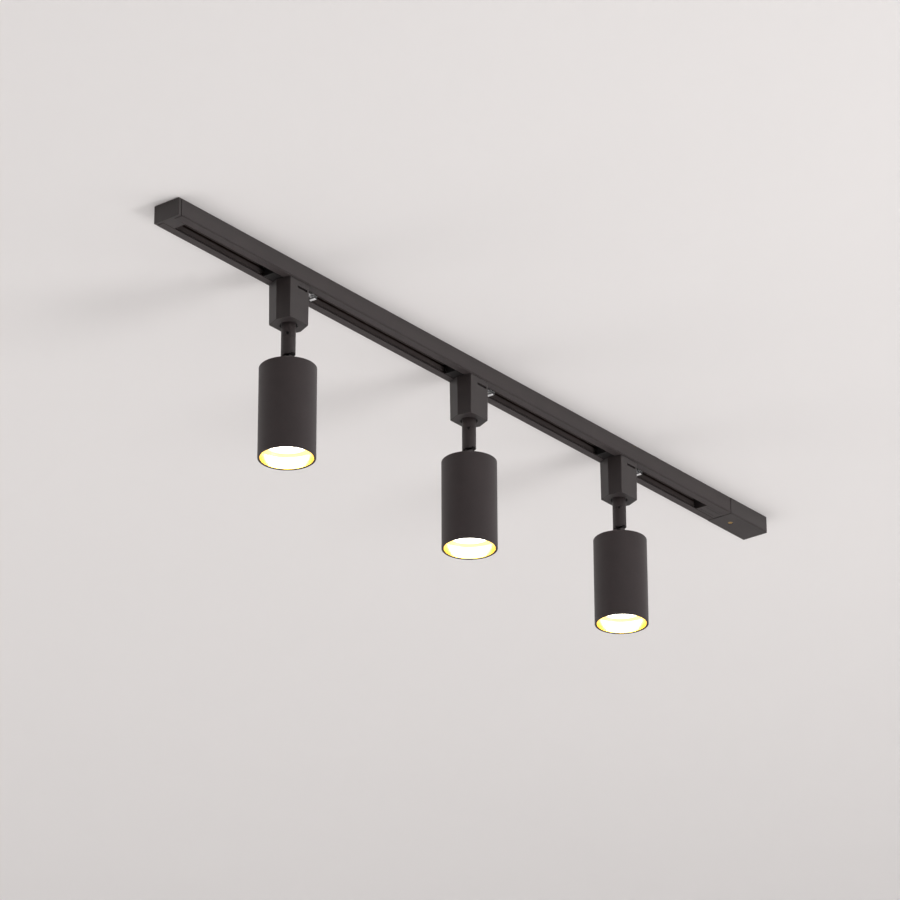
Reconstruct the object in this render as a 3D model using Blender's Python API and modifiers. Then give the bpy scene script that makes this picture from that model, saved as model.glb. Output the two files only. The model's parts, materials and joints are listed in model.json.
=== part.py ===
"""A ceiling track light: a one-circuit H-type rail with an end cap, a live-end feed and three spot heads.

Frame: +X runs along the rail from the end cap to the feed, +Z points up to the ceiling, and the origin
is the middle of the rail's ceiling face. All sizes are in metres.
"""

import math

import bmesh
import bpy
from mathutils import Matrix, Vector

# Clearance between neighbouring pieces.
GAP = 0.0003

# Rail: an aluminium channel with its slot facing down.
TRACK_LENGTH = 1.000
TRACK_WIDTH = 0.035
TRACK_HEIGHT = 0.021
TRACK_WALL = 0.0015
TRACK_ROOF = 0.0016
LIP_THICKNESS = 0.0015
SLOT_WIDTH = 0.016
EDGE_GROOVE_DEPTH = 0.0008
EDGE_GROOVE_HEIGHT = 0.0007
EDGE_GROOVE_RISE = 0.0009
FIXING_HOLE_DIAMETER = 0.0045
FIXING_HOLE_INSET = 0.120

# Insulators along both side walls with room for the locking wings below them, the conductors in their
# grooves and the earth strip on the roof.
INSULATOR_DEPTH = 0.0045
WING_ROOM = 0.0033
CONDUCTOR_DROP = 0.0088
CONDUCTOR_WIDTH = 0.0021
CONDUCTOR_HEIGHT = 0.0026
CONDUCTOR_RECESS = 0.0006
EARTH_WIDTH = 0.006
EARTH_THICKNESS = 0.001

# Dead-end cap and live-end feed.
CAP_THICKNESS = 0.0047
CAP_PLUG_LENGTH = 0.017
PLUG_RECESS = 0.0002
FEED_SPREAD = 0.0002
FEED_WALL = 0.0018
FEED_FLOOR = 0.0020
FEED_BASE_THICKNESS = 0.0018
FEED_PLUG_LENGTH = 0.0365
FEED_BOSS_DIAMETER = 0.007
FEED_SCREW_OFFSET = 0.0242
FEED_SCREW_DIAMETER = 0.0030
FEED_SCREW_HEAD_DIAMETER = 0.0056
FEED_SCREW_HEAD_HEIGHT = 0.0010
CABLE_HOLE_DIAMETER = 0.012
CABLE_MARGIN = 0.00405
TERMINAL_LENGTH = 0.024
TERMINAL_WIDTH = 0.020
TERMINAL_HEIGHT = 0.011
TERMINAL_LANES = 3

# Places of the three heads along the rail.
HEAD_PLACES = (-0.3055, 0.009, 0.2945)

# Adapter block: a six-sided plan, the same when turned half a turn about the swivel axis.
BLOCK_HEIGHT = 0.0482
BLOCK_HALF_WIDTH = 0.0168
BLOCK_LONG_CORNER = 0.0172
BLOCK_SHORT_CORNER = 0.0140
BLOCK_TIP = 0.0211
BLOCK_DRAFT = 0.975
BLOCK_SLIT_LENGTH = 0.016
BLOCK_SLIT_HEIGHT = 0.0028
BLOCK_SLIT_DEPTH = 0.004
BLOCK_SLIT_DROP = 0.0066
BLOCK_SLIT_SHIFT = 0.003

# Contact carrier: the bar that stands in the slot, its locking wings and its three contacts.
CARRIER_BACK = 0.034
CARRIER_NOSE = 0.0075
CARRIER_SIDE_CLEARANCE = 0.0007
CARRIER_TOP_DROP = 0.0050
WING_LENGTH = 0.016
WING_SIDE_CLEARANCE = 0.0023
WING_THICKNESS = 0.0020
CONTACT_LENGTH = 0.009
CONTACT_SHEET = 0.0009
CONTACT_HEIGHT = 0.0020
LIVE_CONTACT_PLACE = -0.022
NEUTRAL_CONTACT_PLACE = 0.014

# Latch tab: a strip of spring steel with a rolled end, on a cross axis in the carrier's front.
LATCH_PIVOT_X = 0.0245
LATCH_PIVOT_RISE = 0.0060
LATCH_WIDTH = 0.0080
LATCH_SHEET = 0.0008
LATCH_REACH = 0.0163
LATCH_DROP = 0.0037
LATCH_KNEE = (0.30, 0.55)
LATCH_HEEL = 0.45
LATCH_CURL_RADIUS = 0.0021
LATCH_CURL_START = 90
LATCH_CURL_END = -200
LATCH_SIDE_CLEARANCE = 0.0005
LATCH_SWEEP_ROOM = 0.0040
TRUNNION_DIAMETER = 0.0020
TRUNNION_LENGTH = 0.0014

# Swivel: the stem's flange turns in a chamber in the block, and a ring closes the bore.
STEM_DIAMETER = 0.016
STEM_LENGTH = 0.0365
STEM_BORE = 0.007
STEM_FLANGE_MARGIN = 0.003
STEM_FLANGE_HEIGHT = 0.0025
STEM_NECK_LENGTH = 0.0125
STEM_SEAM_BELOW_SCREW = 0.0033
STEM_SEAM_HEIGHT = 0.0005
STEM_SEAM_DEPTH = 0.0003
RING_WALL = 0.0012
RING_HEIGHT = 0.003
RING_RECESS = 0.0006
SET_SCREW_DIAMETER = 0.0032
SET_SCREW_LENGTH = 0.0026
SET_SCREW_DROP = 0.0125
SET_SCREW_TURN = math.radians(215)

# Tilt hinge: half of the stem's foot laps half of a leaf on the head, on one cross screw.
HINGE_RADIUS = 0.006
HINGE_HALF_LAP = 0.0052
HINGE_SKIRT = 0.0015
HINGE_NOTCH = 0.0018
PIVOT_CLEARANCE = 0.0007
HINGE_SCREW_DIAMETER = 0.0036
HINGE_SCREW_HEAD_DIAMETER = 0.0064
HINGE_SCREW_HEAD_HEIGHT = 0.0012
RIVET_DIAMETER = 0.008
RIVET_HEAD_DIAMETER = 0.013
RIVET_HEAD_HEIGHT = 0.0015

# Spot head: a cylinder open at the bottom, with a gilt sleeve, a reflector lamp and its holder.
HEAD_LENGTH = 0.1063
HEAD_WALL = 0.0017
HEAD_TOP_THICKNESS = 0.002
HEAD_TOP_CHAMFER = 0.0005
SLEEVE_WALL = 0.0007
SLEEVE_RECESS = 0.0005
SLEEVE_BACK = 0.011
LEDGE_OVERLAP = 0.0009
LAMP_DEPTH = 0.0155
LAMP_DIAMETER = 0.050
LAMP_CLEARANCE = 0.0038
LAMP_LENGTH = 0.0455
LAMP_RING_HEIGHT = 0.0045
LAMP_RING_WALL = 0.0014
LAMP_BASE_DIAMETER = 0.024
LAMP_BASE_LENGTH = 0.007
LENS_THICKNESS = 0.0018
LENS_DOME = 0.0007
LENS_KNEE = (0.6, 0.7)
HOLDER_DIAMETER = 0.028
HOLDER_HEIGHT = 0.0145
HOLDER_NECK_DIAMETER = 0.010

# Sides of the round pieces.
ROUND_SIDES = 40
STEM_SIDES = 24
SMALL_SIDES = 12
SOCKET_SIDES = 6
LAP_STEPS = 12
CURL_STEPS = 14

# Sizes and heights worked out from the sizes above.
TRACK_BOTTOM = -TRACK_HEIGHT
LIP_TOP = TRACK_BOTTOM + LIP_THICKNESS
CAVITY_HALF = TRACK_WIDTH / 2 - TRACK_WALL
BLOCK_TOP = TRACK_BOTTOM - GAP
BLOCK_BOTTOM = BLOCK_TOP - BLOCK_HEIGHT
STEM_SEAM_DROP = SET_SCREW_DROP + STEM_SEAM_BELOW_SCREW
SHOULDER = BLOCK_BOTTOM - STEM_LENGTH
PIVOT = SHOULDER - HINGE_RADIUS - GAP
HEAD_TOP = PIVOT - STEM_DIAMETER / 2 - PIVOT_CLEARANCE
HEAD_BOTTOM = HEAD_TOP - HEAD_LENGTH
LATCH_PIVOT = TRACK_BOTTOM + LATCH_PIVOT_RISE
SLOT_PIECE_HALF = SLOT_WIDTH / 2 - GAP
CARRIER_HALF = SLOT_WIDTH / 2 - CARRIER_SIDE_CLEARANCE
CARRIER_FRONT = LATCH_PIVOT_X + CARRIER_NOSE
WING_HALF_SPAN = CAVITY_HALF - WING_SIDE_CLEARANCE
INSULATOR_FACE = CAVITY_HALF - GAP - INSULATOR_DEPTH
INSULATOR_BOTTOM = LIP_TOP + WING_ROOM
CONDUCTOR_FACE = INSULATOR_FACE + CONDUCTOR_RECESS
FEED_ROOM = FEED_WALL + GAP
FEED_START = TRACK_LENGTH / 2 + GAP
FEED_SCREW_X = TRACK_LENGTH / 2 + FEED_SCREW_OFFSET
TERMINAL_START = FEED_SCREW_X + FEED_BOSS_DIAMETER
CABLE_X = TERMINAL_START + TERMINAL_LENGTH + CABLE_MARGIN + CABLE_HOLE_DIAMETER / 2
FEED_END = CABLE_X + CABLE_HOLE_DIAMETER / 2 + CABLE_MARGIN + FEED_ROOM
HEAD_DIAMETER = LAMP_DIAMETER + 2 * (LAMP_CLEARANCE + SLEEVE_WALL + GAP + HEAD_WALL)


def clear_scene():
    for item in list(bpy.data.objects):
        bpy.data.objects.remove(item, do_unlink=True)


def new_collection(name):
    collection = bpy.data.collections.new(name)
    bpy.context.scene.collection.children.link(collection)
    return collection


def new_material(name, colour, roughness, metallic=0.0):
    material = bpy.data.materials.new(name)
    material.use_nodes = True
    shader = material.node_tree.nodes["Principled BSDF"]
    shader.inputs["Base Color"].default_value = (*colour, 1.0)
    shader.inputs["Roughness"].default_value = roughness
    shader.inputs["Metallic"].default_value = metallic
    return material


def new_object(name, mesh, material, parent=None, shift=Vector((0, 0, 0))):
    """An object in the parts collection, at the given shift under its parent empty."""
    item = bpy.data.objects.new(name, mesh)
    PARTS.objects.link(item)
    if material is not None:
        mesh.materials.append(material)
    item.parent = parent
    item.location = shift
    return item


def mesh_from(name, shape):
    mesh = bpy.data.meshes.new(name)
    shape.to_mesh(mesh)
    shape.free()
    return mesh


def box_mesh(name, low, high):
    shape = bmesh.new()
    bmesh.ops.create_cube(shape, size=1.0)
    low = Vector(low)
    high = Vector(high)
    stretch = Matrix.Diagonal((*(high - low), 1.0))
    bmesh.ops.transform(shape, matrix=Matrix.Translation((low + high) / 2) @ stretch, verts=shape.verts)
    return mesh_from(name, shape)


def rod_mesh(name, start, end, diameter, sides):
    """A straight round rod from start to end."""
    start = Vector(start)
    end = Vector(end)
    shape = bmesh.new()
    bmesh.ops.create_cone(
        shape,
        cap_ends=True,
        segments=sides,
        radius1=diameter / 2,
        radius2=diameter / 2,
        depth=(end - start).length,
    )
    turn = (end - start).to_track_quat("Z", "Y").to_matrix().to_4x4()
    bmesh.ops.transform(shape, matrix=Matrix.Translation((start + end) / 2) @ turn, verts=shape.verts)
    return mesh_from(name, shape)


def flat_mesh(name, outline, low, high, turn):
    """A flat outline from a filled 2D curve, from low to high along its normal, then turned."""
    curve = bpy.data.curves.new(name, "CURVE")
    curve.dimensions = "2D"
    curve.fill_mode = "BOTH"
    curve.extrude = (high - low) / 2
    spline = curve.splines.new("POLY")
    spline.points.add(len(outline) - 1)
    for point, (across, up) in zip(spline.points, outline):
        point.co = (across, up, 0.0, 1.0)
    spline.use_cyclic_u = True
    item = bpy.data.objects.new(name, curve)
    bpy.context.scene.collection.objects.link(item)
    evaluated = item.evaluated_get(bpy.context.evaluated_depsgraph_get())
    mesh = bpy.data.meshes.new_from_object(evaluated)
    bpy.data.objects.remove(item, do_unlink=True)
    bpy.data.curves.remove(curve)
    shape = bmesh.new()
    shape.from_mesh(mesh)
    bmesh.ops.remove_doubles(shape, verts=shape.verts, dist=1e-6)
    bmesh.ops.dissolve_limit(shape, angle_limit=0.001, verts=shape.verts, edges=shape.edges)
    centre = Matrix.Translation((0, 0, (low + high) / 2))
    bmesh.ops.transform(shape, matrix=turn @ centre, verts=shape.verts)
    bmesh.ops.recalc_face_normals(shape, faces=shape.faces)
    shape.to_mesh(mesh)
    shape.free()
    mesh.name = name
    return mesh


# Turns for flat_mesh: the outline's (across, up) lie along (Y, Z) or (X, Z), and its normal along X or -Y.
ALONG_X = Matrix(((0, 0, 1, 0), (1, 0, 0, 0), (0, 1, 0, 0), (0, 0, 0, 1)))
ALONG_Y = Matrix(((1, 0, 0, 0), (0, 0, -1, 0), (0, 1, 0, 0), (0, 0, 0, 1)))
UPRIGHT = Matrix.Identity(4)


def turned(name, profile, sides, material, parent, shift, closed=True):
    """A turned piece: the profile's (radius, height) points run down its outer side."""
    mesh = bpy.data.meshes.new(name)
    edges = [(i, i + 1) for i in range(len(profile) - 1)]
    if closed:
        edges.append((len(profile) - 1, 0))
    mesh.from_pydata([(radius, 0, height) for radius, height in profile], edges, [])
    item = new_object(name, mesh, material, parent, shift)
    screw = item.modifiers.new("Turning", "SCREW")
    screw.steps = sides
    screw.render_steps = sides
    screw.use_merge_vertices = True
    screw.merge_threshold = 1e-6
    screw.use_smooth_shade = True
    return item


def helper(item):
    """Makes an object a cutter or a joined shape that is not itself a piece."""
    PARTS.objects.unlink(item)
    CUTTERS.objects.link(item)
    item.hide_render = True
    item.display_type = "WIRE"
    return item


def combine(piece, other, operation):
    modifier = piece.modifiers.new(operation.title(), "BOOLEAN")
    modifier.operation = operation
    modifier.solver = "EXACT"
    modifier.object = helper(other)


def cut(piece, other):
    combine(piece, other, "DIFFERENCE")


def join(piece, other):
    combine(piece, other, "UNION")


def arc(centre, radius, start, end, count):
    """Points on an arc, from the start angle to the end angle in degrees."""
    angles = [math.radians(start + (end - start) * i / count) for i in range(count + 1)]
    return [(centre[0] + radius * math.cos(a), centre[1] + radius * math.sin(a)) for a in angles]


def both_sides(half):
    """A closed outline that mirrors a half outline about its first coordinate."""
    return half + [(-across, up) for across, up in reversed(half)]


def build_rail():
    outer = TRACK_WIDTH / 2
    groove_low = TRACK_BOTTOM + EDGE_GROOVE_RISE
    groove_high = groove_low + EDGE_GROOVE_HEIGHT
    outline = both_sides(
        [
            (outer, 0.0),
            (outer, groove_high),
            (outer - EDGE_GROOVE_DEPTH, groove_high),
            (outer - EDGE_GROOVE_DEPTH, groove_low),
            (outer, groove_low),
            (outer, TRACK_BOTTOM),
            (SLOT_WIDTH / 2, TRACK_BOTTOM),
            (SLOT_WIDTH / 2, LIP_TOP),
            (CAVITY_HALF, LIP_TOP),
            (CAVITY_HALF, -TRACK_ROOF),
        ]
    )
    mesh = flat_mesh("track_rail", outline, -TRACK_LENGTH / 2, TRACK_LENGTH / 2, ALONG_X)
    rail = new_object("track_rail", mesh, BLACK_METAL)
    for side in (-1, 1):
        place = side * (TRACK_LENGTH / 2 - FIXING_HOLE_INSET)
        hole = rod_mesh(
            "fixing_hole",
            (place, 0, -2 * TRACK_ROOF),
            (place, 0, TRACK_ROOF),
            FIXING_HOLE_DIAMETER,
            SMALL_SIDES,
        )
        cut(rail, new_object("fixing_hole", hole, None))


def build_insulators():
    half_length = TRACK_LENGTH / 2 - GAP
    top = -TRACK_ROOF - GAP
    back = CAVITY_HALF - GAP
    groove_half = CONDUCTOR_HEIGHT / 2 + GAP
    groove_back = CONDUCTOR_FACE + CONDUCTOR_WIDTH + GAP
    names = (("insulator_front", "neutral_conductor", -1), ("insulator_rear", "live_conductor", 1))
    for insulator, conductor, side in names:
        outline = [
            (side * INSULATOR_FACE, top),
            (side * back, top),
            (side * back, INSULATOR_BOTTOM),
            (side * INSULATOR_FACE, INSULATOR_BOTTOM),
            (side * INSULATOR_FACE, -CONDUCTOR_DROP - groove_half),
            (side * groove_back, -CONDUCTOR_DROP - groove_half),
            (side * groove_back, -CONDUCTOR_DROP + groove_half),
            (side * INSULATOR_FACE, -CONDUCTOR_DROP + groove_half),
        ]
        mesh = flat_mesh(insulator, outline, -half_length, half_length, ALONG_X)
        new_object(insulator, mesh, GREY_PLASTIC)
        faces = sorted((side * CONDUCTOR_FACE, side * (CONDUCTOR_FACE + CONDUCTOR_WIDTH)))
        low = (-half_length, faces[0], -CONDUCTOR_DROP - CONDUCTOR_HEIGHT / 2)
        high = (half_length, faces[1], -CONDUCTOR_DROP + CONDUCTOR_HEIGHT / 2)
        new_object(conductor, box_mesh(conductor, low, high), COPPER)
    low = (-half_length, -EARTH_WIDTH / 2, top - EARTH_THICKNESS)
    high = (half_length, EARTH_WIDTH / 2, top)
    new_object("earth_strip", box_mesh("earth_strip", low, high), COPPER)


def plug_boxes(name, start, end):
    """What fills the rail at an end: a core between the insulators, and a tongue down through the slot."""
    half = INSULATOR_FACE - GAP
    shelf = LIP_TOP + GAP
    top = -TRACK_ROOF - EARTH_THICKNESS - 2 * GAP
    core = box_mesh(name, (start, -half, shelf), (end, half, top))
    tongue_low = (start, -SLOT_PIECE_HALF, TRACK_BOTTOM + PLUG_RECESS)
    tongue_high = (end - PLUG_RECESS, SLOT_PIECE_HALF, shelf + LIP_THICKNESS)
    return core, box_mesh(f"{name}_tongue", tongue_low, tongue_high)


def build_end_cap():
    inner = -TRACK_LENGTH / 2 - GAP
    half = TRACK_WIDTH / 2
    low = (inner - CAP_THICKNESS, -half, TRACK_BOTTOM)
    cap = new_object("end_cap", box_mesh("end_cap", low, (inner, half, 0)), BLACK_PLASTIC)
    for mesh in plug_boxes("end_cap_plug", inner - CAP_THICKNESS / 2, -TRACK_LENGTH / 2 + CAP_PLUG_LENGTH):
        join(cap, new_object(mesh.name, mesh, None))


def build_feed():
    half = TRACK_WIDTH / 2 + FEED_SPREAD
    bottom = TRACK_BOTTOM - FEED_SPREAD
    base_low = -FEED_BASE_THICKNESS

    cover_mesh = box_mesh("feed_cover", (FEED_START, -half, bottom), (FEED_END, half, 0))
    cover = new_object("feed_cover", cover_mesh, BLACK_PLASTIC)
    hollow = box_mesh(
        "feed_hollow",
        (FEED_START + FEED_WALL, -half + FEED_WALL, bottom + FEED_FLOOR),
        (FEED_END - FEED_WALL, half - FEED_WALL, FEED_WALL),
    )
    cut(cover, new_object("feed_hollow", hollow, None))
    hole_low = (FEED_SCREW_X, 0, bottom - FEED_FLOOR)
    hole_high = (FEED_SCREW_X, 0, bottom + 2 * FEED_FLOOR)
    hole = rod_mesh("feed_screw_hole", hole_low, hole_high, FEED_SCREW_DIAMETER + 2 * GAP, SMALL_SIDES)
    cut(cover, new_object("feed_screw_hole", hole, None))
    sink_high = (FEED_SCREW_X, 0, bottom + FEED_SCREW_HEAD_HEIGHT)
    sink_width = FEED_SCREW_HEAD_DIAMETER + 2 * GAP
    sink = rod_mesh("feed_screw_sink", hole_low, sink_high, sink_width, SMALL_SIDES)
    cut(cover, new_object("feed_screw_sink", sink, None))

    base_start = FEED_START + FEED_ROOM
    base_end = FEED_END - FEED_ROOM
    base_half = half - FEED_ROOM
    base_mesh = box_mesh("feed_base", (base_start, -base_half, base_low), (base_end, base_half, 0))
    base = new_object("feed_base", base_mesh, BLACK_PLASTIC)
    boss_low = bottom + FEED_FLOOR + GAP
    boss = rod_mesh(
        "feed_boss",
        (FEED_SCREW_X, 0, boss_low),
        (FEED_SCREW_X, 0, base_low / 2),
        FEED_BOSS_DIAMETER,
        SMALL_SIDES,
    )
    join(base, new_object("feed_boss", boss, None))
    thread_top = boss_low + TRACK_HEIGHT / 3
    bore = rod_mesh(
        "feed_bore",
        (FEED_SCREW_X, 0, boss_low - FEED_FLOOR),
        (FEED_SCREW_X, 0, thread_top),
        FEED_SCREW_DIAMETER + 2 * GAP,
        SMALL_SIDES,
    )
    cut(base, new_object("feed_bore", bore, None))
    cable = rod_mesh(
        "cable_hole",
        (CABLE_X, 0, 2 * base_low),
        (CABLE_X, 0, FEED_BASE_THICKNESS),
        CABLE_HOLE_DIAMETER,
        SMALL_SIDES,
    )
    cut(base, new_object("cable_hole", cable, None))

    terminal_end = TERMINAL_START + TERMINAL_LENGTH
    terminal_top = base_low - GAP
    terminal_high = (terminal_end, TERMINAL_WIDTH / 2, terminal_top)
    terminal_low = (TERMINAL_START, -TERMINAL_WIDTH / 2, terminal_top - TERMINAL_HEIGHT)
    terminal_mesh = box_mesh("feed_terminal_block", terminal_low, terminal_high)
    terminal = new_object("feed_terminal_block", terminal_mesh, GREY_PLASTIC)
    lane_pitch = TERMINAL_WIDTH / TERMINAL_LANES
    middle = terminal_top - TERMINAL_HEIGHT / 2
    for lane in range(TERMINAL_LANES):
        y = (lane - (TERMINAL_LANES - 1) / 2) * lane_pitch
        passage = rod_mesh(
            "terminal_passage",
            (TERMINAL_START - GAP, y, middle),
            (terminal_end + GAP, y, middle),
            lane_pitch / 2,
            SOCKET_SIDES,
        )
        cut(terminal, new_object("terminal_passage", passage, None))

    screw_top = thread_top - GAP
    head_high = bottom + FEED_SCREW_HEAD_HEIGHT - GAP
    profile = [
        (0, screw_top),
        (FEED_SCREW_DIAMETER / 2, screw_top),
        (FEED_SCREW_DIAMETER / 2, head_high),
        (FEED_SCREW_HEAD_DIAMETER / 2, head_high),
        (FEED_SCREW_HEAD_DIAMETER / 2, bottom + GAP / 2),
        (0, bottom + GAP / 2),
    ]
    turned("feed_screw", profile, SMALL_SIDES, BRASS, None, (FEED_SCREW_X, 0, 0), closed=False)

    core, tongue = plug_boxes("feed_plug", TRACK_LENGTH / 2 - FEED_PLUG_LENGTH, TRACK_LENGTH / 2)
    plug = new_object("feed_plug", core, BLACK_PLASTIC)
    join(plug, new_object("feed_plug_tongue", tongue, None))


def block_outline(scale=1.0):
    """The block's plan, anticlockwise from the corner at the end cap's near side."""
    half = [
        (-BLOCK_LONG_CORNER, -BLOCK_HALF_WIDTH),
        (BLOCK_SHORT_CORNER, -BLOCK_HALF_WIDTH),
        (BLOCK_TIP, 0.0),
    ]
    return [(scale * x, scale * y) for x, y in half + [(-x, -y) for x, y in half]]


def build_adapter(number, slide):
    name = f"adapter_block_{number}"
    mesh = flat_mesh(name, block_outline(), BLOCK_BOTTOM, BLOCK_TOP, UPRIGHT)
    for vertex in mesh.vertices:
        if vertex.co.z < (BLOCK_TOP + BLOCK_BOTTOM) / 2:
            vertex.co.xy *= BLOCK_DRAFT
    block = new_object(name, mesh, BLACK_PLASTIC, slide)

    bore = STEM_DIAMETER + 2 * GAP
    ring_top = BLOCK_BOTTOM + RING_RECESS + RING_HEIGHT + GAP
    flange = bore + 2 * STEM_FLANGE_MARGIN
    floor = BLOCK_BOTTOM + STEM_NECK_LENGTH
    ceiling = floor + STEM_FLANGE_HEIGHT + 2 * GAP
    chamber = [
        (0, ceiling),
        (flange / 2, ceiling),
        (flange / 2, floor),
        (bore / 2, floor),
        (bore / 2, ring_top),
        (bore / 2 + RING_WALL + GAP, ring_top),
        (bore / 2 + RING_WALL + GAP, BLOCK_BOTTOM - STEM_NECK_LENGTH),
        (0, BLOCK_BOTTOM - STEM_NECK_LENGTH),
    ]
    cut(block, turned(f"chamber_{number}", chamber, STEM_SIDES, None, slide, (0, 0, 0), closed=False))
    slit_top = BLOCK_TOP - BLOCK_SLIT_DROP
    for side in (-1, 1):
        middle = -side * BLOCK_SLIT_SHIFT
        face = side * BLOCK_HALF_WIDTH
        low_y, high_y = sorted((face - side * BLOCK_SLIT_DEPTH, face + side * BLOCK_SLIT_DEPTH))
        slit = box_mesh(
            "slit",
            (middle - BLOCK_SLIT_LENGTH / 2, low_y, slit_top - BLOCK_SLIT_HEIGHT),
            (middle + BLOCK_SLIT_LENGTH / 2, high_y, slit_top),
        )
        cut(block, new_object(f"block_slit_{number}", slit, None, slide))

    ring = [
        (bore / 2 + RING_WALL, BLOCK_BOTTOM + RING_RECESS + RING_HEIGHT),
        (bore / 2 + RING_WALL, BLOCK_BOTTOM + RING_RECESS),
        (bore / 2, BLOCK_BOTTOM + RING_RECESS),
        (bore / 2, BLOCK_BOTTOM + RING_RECESS + RING_HEIGHT),
    ]
    turned(f"swivel_ring_{number}", ring, STEM_SIDES, DARK_STEEL, slide, (0, 0, 0))


def build_carrier(number, slide):
    name = f"contact_carrier_{number}"
    top = -CARRIER_TOP_DROP
    bottom = BLOCK_TOP + GAP
    low = (-CARRIER_BACK, -CARRIER_HALF, bottom)
    high = (CARRIER_FRONT, CARRIER_HALF, top)
    carrier = new_object(name, box_mesh(name, low, high), BLACK_PLASTIC, slide)
    wing_low = LIP_TOP + GAP
    wings = box_mesh(
        "wings",
        (-WING_LENGTH / 2, -WING_HALF_SPAN, wing_low),
        (WING_LENGTH / 2, WING_HALF_SPAN, wing_low + WING_THICKNESS),
    )
    join(carrier, new_object(f"wings_{number}", wings, None, slide))
    latch_half = LATCH_WIDTH / 2 + LATCH_SIDE_CLEARANCE
    back = LATCH_PIVOT_X - LATCH_SWEEP_ROOM
    notch = box_mesh(
        "notch",
        (back, -latch_half, bottom - TRACK_HEIGHT),
        (CARRIER_FRONT + GAP, latch_half, LATCH_PIVOT + LATCH_SWEEP_ROOM),
    )
    cut(carrier, new_object(f"notch_{number}", notch, None, slide))
    seat_half = LATCH_WIDTH / 2 + TRUNNION_LENGTH + GAP
    seat = rod_mesh(
        "trunnion_seat",
        (LATCH_PIVOT_X, -seat_half, LATCH_PIVOT),
        (LATCH_PIVOT_X, seat_half, LATCH_PIVOT),
        TRUNNION_DIAMETER + 2 * GAP,
        SMALL_SIDES,
    )
    cut(carrier, new_object(f"trunnion_seat_{number}", seat, None, slide))

    reach = CONDUCTOR_FACE - GAP
    root = CARRIER_HALF + GAP
    sides = (("live_contact", 1, LIVE_CONTACT_PLACE), ("neutral_contact", -1, NEUTRAL_CONTACT_PLACE))
    for word, side, place in sides:
        outline = contact_outline(root, reach)
        turn = Matrix.Rotation(0 if side > 0 else math.pi, 4, "Z")
        mesh = flat_mesh(
            f"{word}_{number}",
            outline,
            -CONDUCTOR_DROP - CONTACT_HEIGHT / 2,
            -CONDUCTOR_DROP + CONTACT_HEIGHT / 2,
            Matrix.Translation((place, 0, 0)) @ turn,
        )
        new_object(f"{word}_{number}", mesh, BRASS, slide)
    earth_top = -TRACK_ROOF - EARTH_THICKNESS - 2 * GAP
    outline = contact_outline(top + GAP, earth_top)
    name = f"earth_contact_{number}"
    mesh = flat_mesh(name, outline, -EARTH_WIDTH / 4, EARTH_WIDTH / 4, ALONG_Y)
    new_object(name, mesh, BRASS, slide)


def contact_outline(root, reach):
    """A leaf spring seen along its width: flat feet at root, and a middle bowed out to reach."""
    bow = reach - root
    half = CONTACT_LENGTH / 2
    foot = min(CONTACT_SHEET, bow / 2)
    under_bow = max(bow - CONTACT_SHEET, bow / 4)
    inner = [(-half, 0.0), (-half / 3, under_bow), (half / 3, under_bow), (half, 0.0)]
    outer = [(half, foot), (half / 3, bow), (-half / 3, bow), (-half, foot)]
    return [(along, root + out) for along, out in inner + outer]


def latch_path():
    """The latch strip's middle line in (x, z), from its axis to the end of its rolled eye."""
    foot = -LATCH_DROP
    knee = (LATCH_KNEE[0] * LATCH_REACH, LATCH_KNEE[1] * foot)
    heel = (LATCH_HEEL * LATCH_REACH, foot)
    eye = (LATCH_REACH, foot - LATCH_CURL_RADIUS)
    curl = arc(eye, LATCH_CURL_RADIUS, LATCH_CURL_START, LATCH_CURL_END, CURL_STEPS)
    return [(-LATCH_SHEET, 0.0), (0.0, 0.0), knee, heel] + curl


def ribbon_outline(path, thickness):
    """A closed outline of even thickness about an open path."""
    left = []
    right = []
    for i, point in enumerate(path):
        before = Vector(path[max(i - 1, 0)])
        after = Vector(path[min(i + 1, len(path) - 1)])
        along = (after - before).normalized()
        side = Vector((-along.y, along.x)) * thickness / 2
        left.append(tuple(Vector(point) + side))
        right.append(tuple(Vector(point) - side))
    return left + right[::-1]


def build_latch(number, latch):
    name = f"latch_tab_{number}"
    outline = ribbon_outline(latch_path(), LATCH_SHEET)
    mesh = flat_mesh(name, outline, -LATCH_WIDTH / 2, LATCH_WIDTH / 2, ALONG_Y)
    tab = new_object(name, mesh, BRIGHT_STEEL, latch)
    half = LATCH_WIDTH / 2 + TRUNNION_LENGTH
    axle = rod_mesh("trunnions", (0, -half, 0), (0, half, 0), TRUNNION_DIAMETER, SMALL_SIDES)
    join(tab, new_object(f"trunnions_{number}", axle, None, latch))


def lap_outline(direction, reach):
    """Half of the hinge in (x, z) about its screw: a round end and straight sides up or down to reach."""
    start = 180 if direction > 0 else 0
    round_end = arc((0, 0), HINGE_RADIUS, start, start + 180, LAP_STEPS)
    side = direction * HINGE_RADIUS
    end = direction * reach
    return round_end + [(side, end), (-side, end)]


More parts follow.
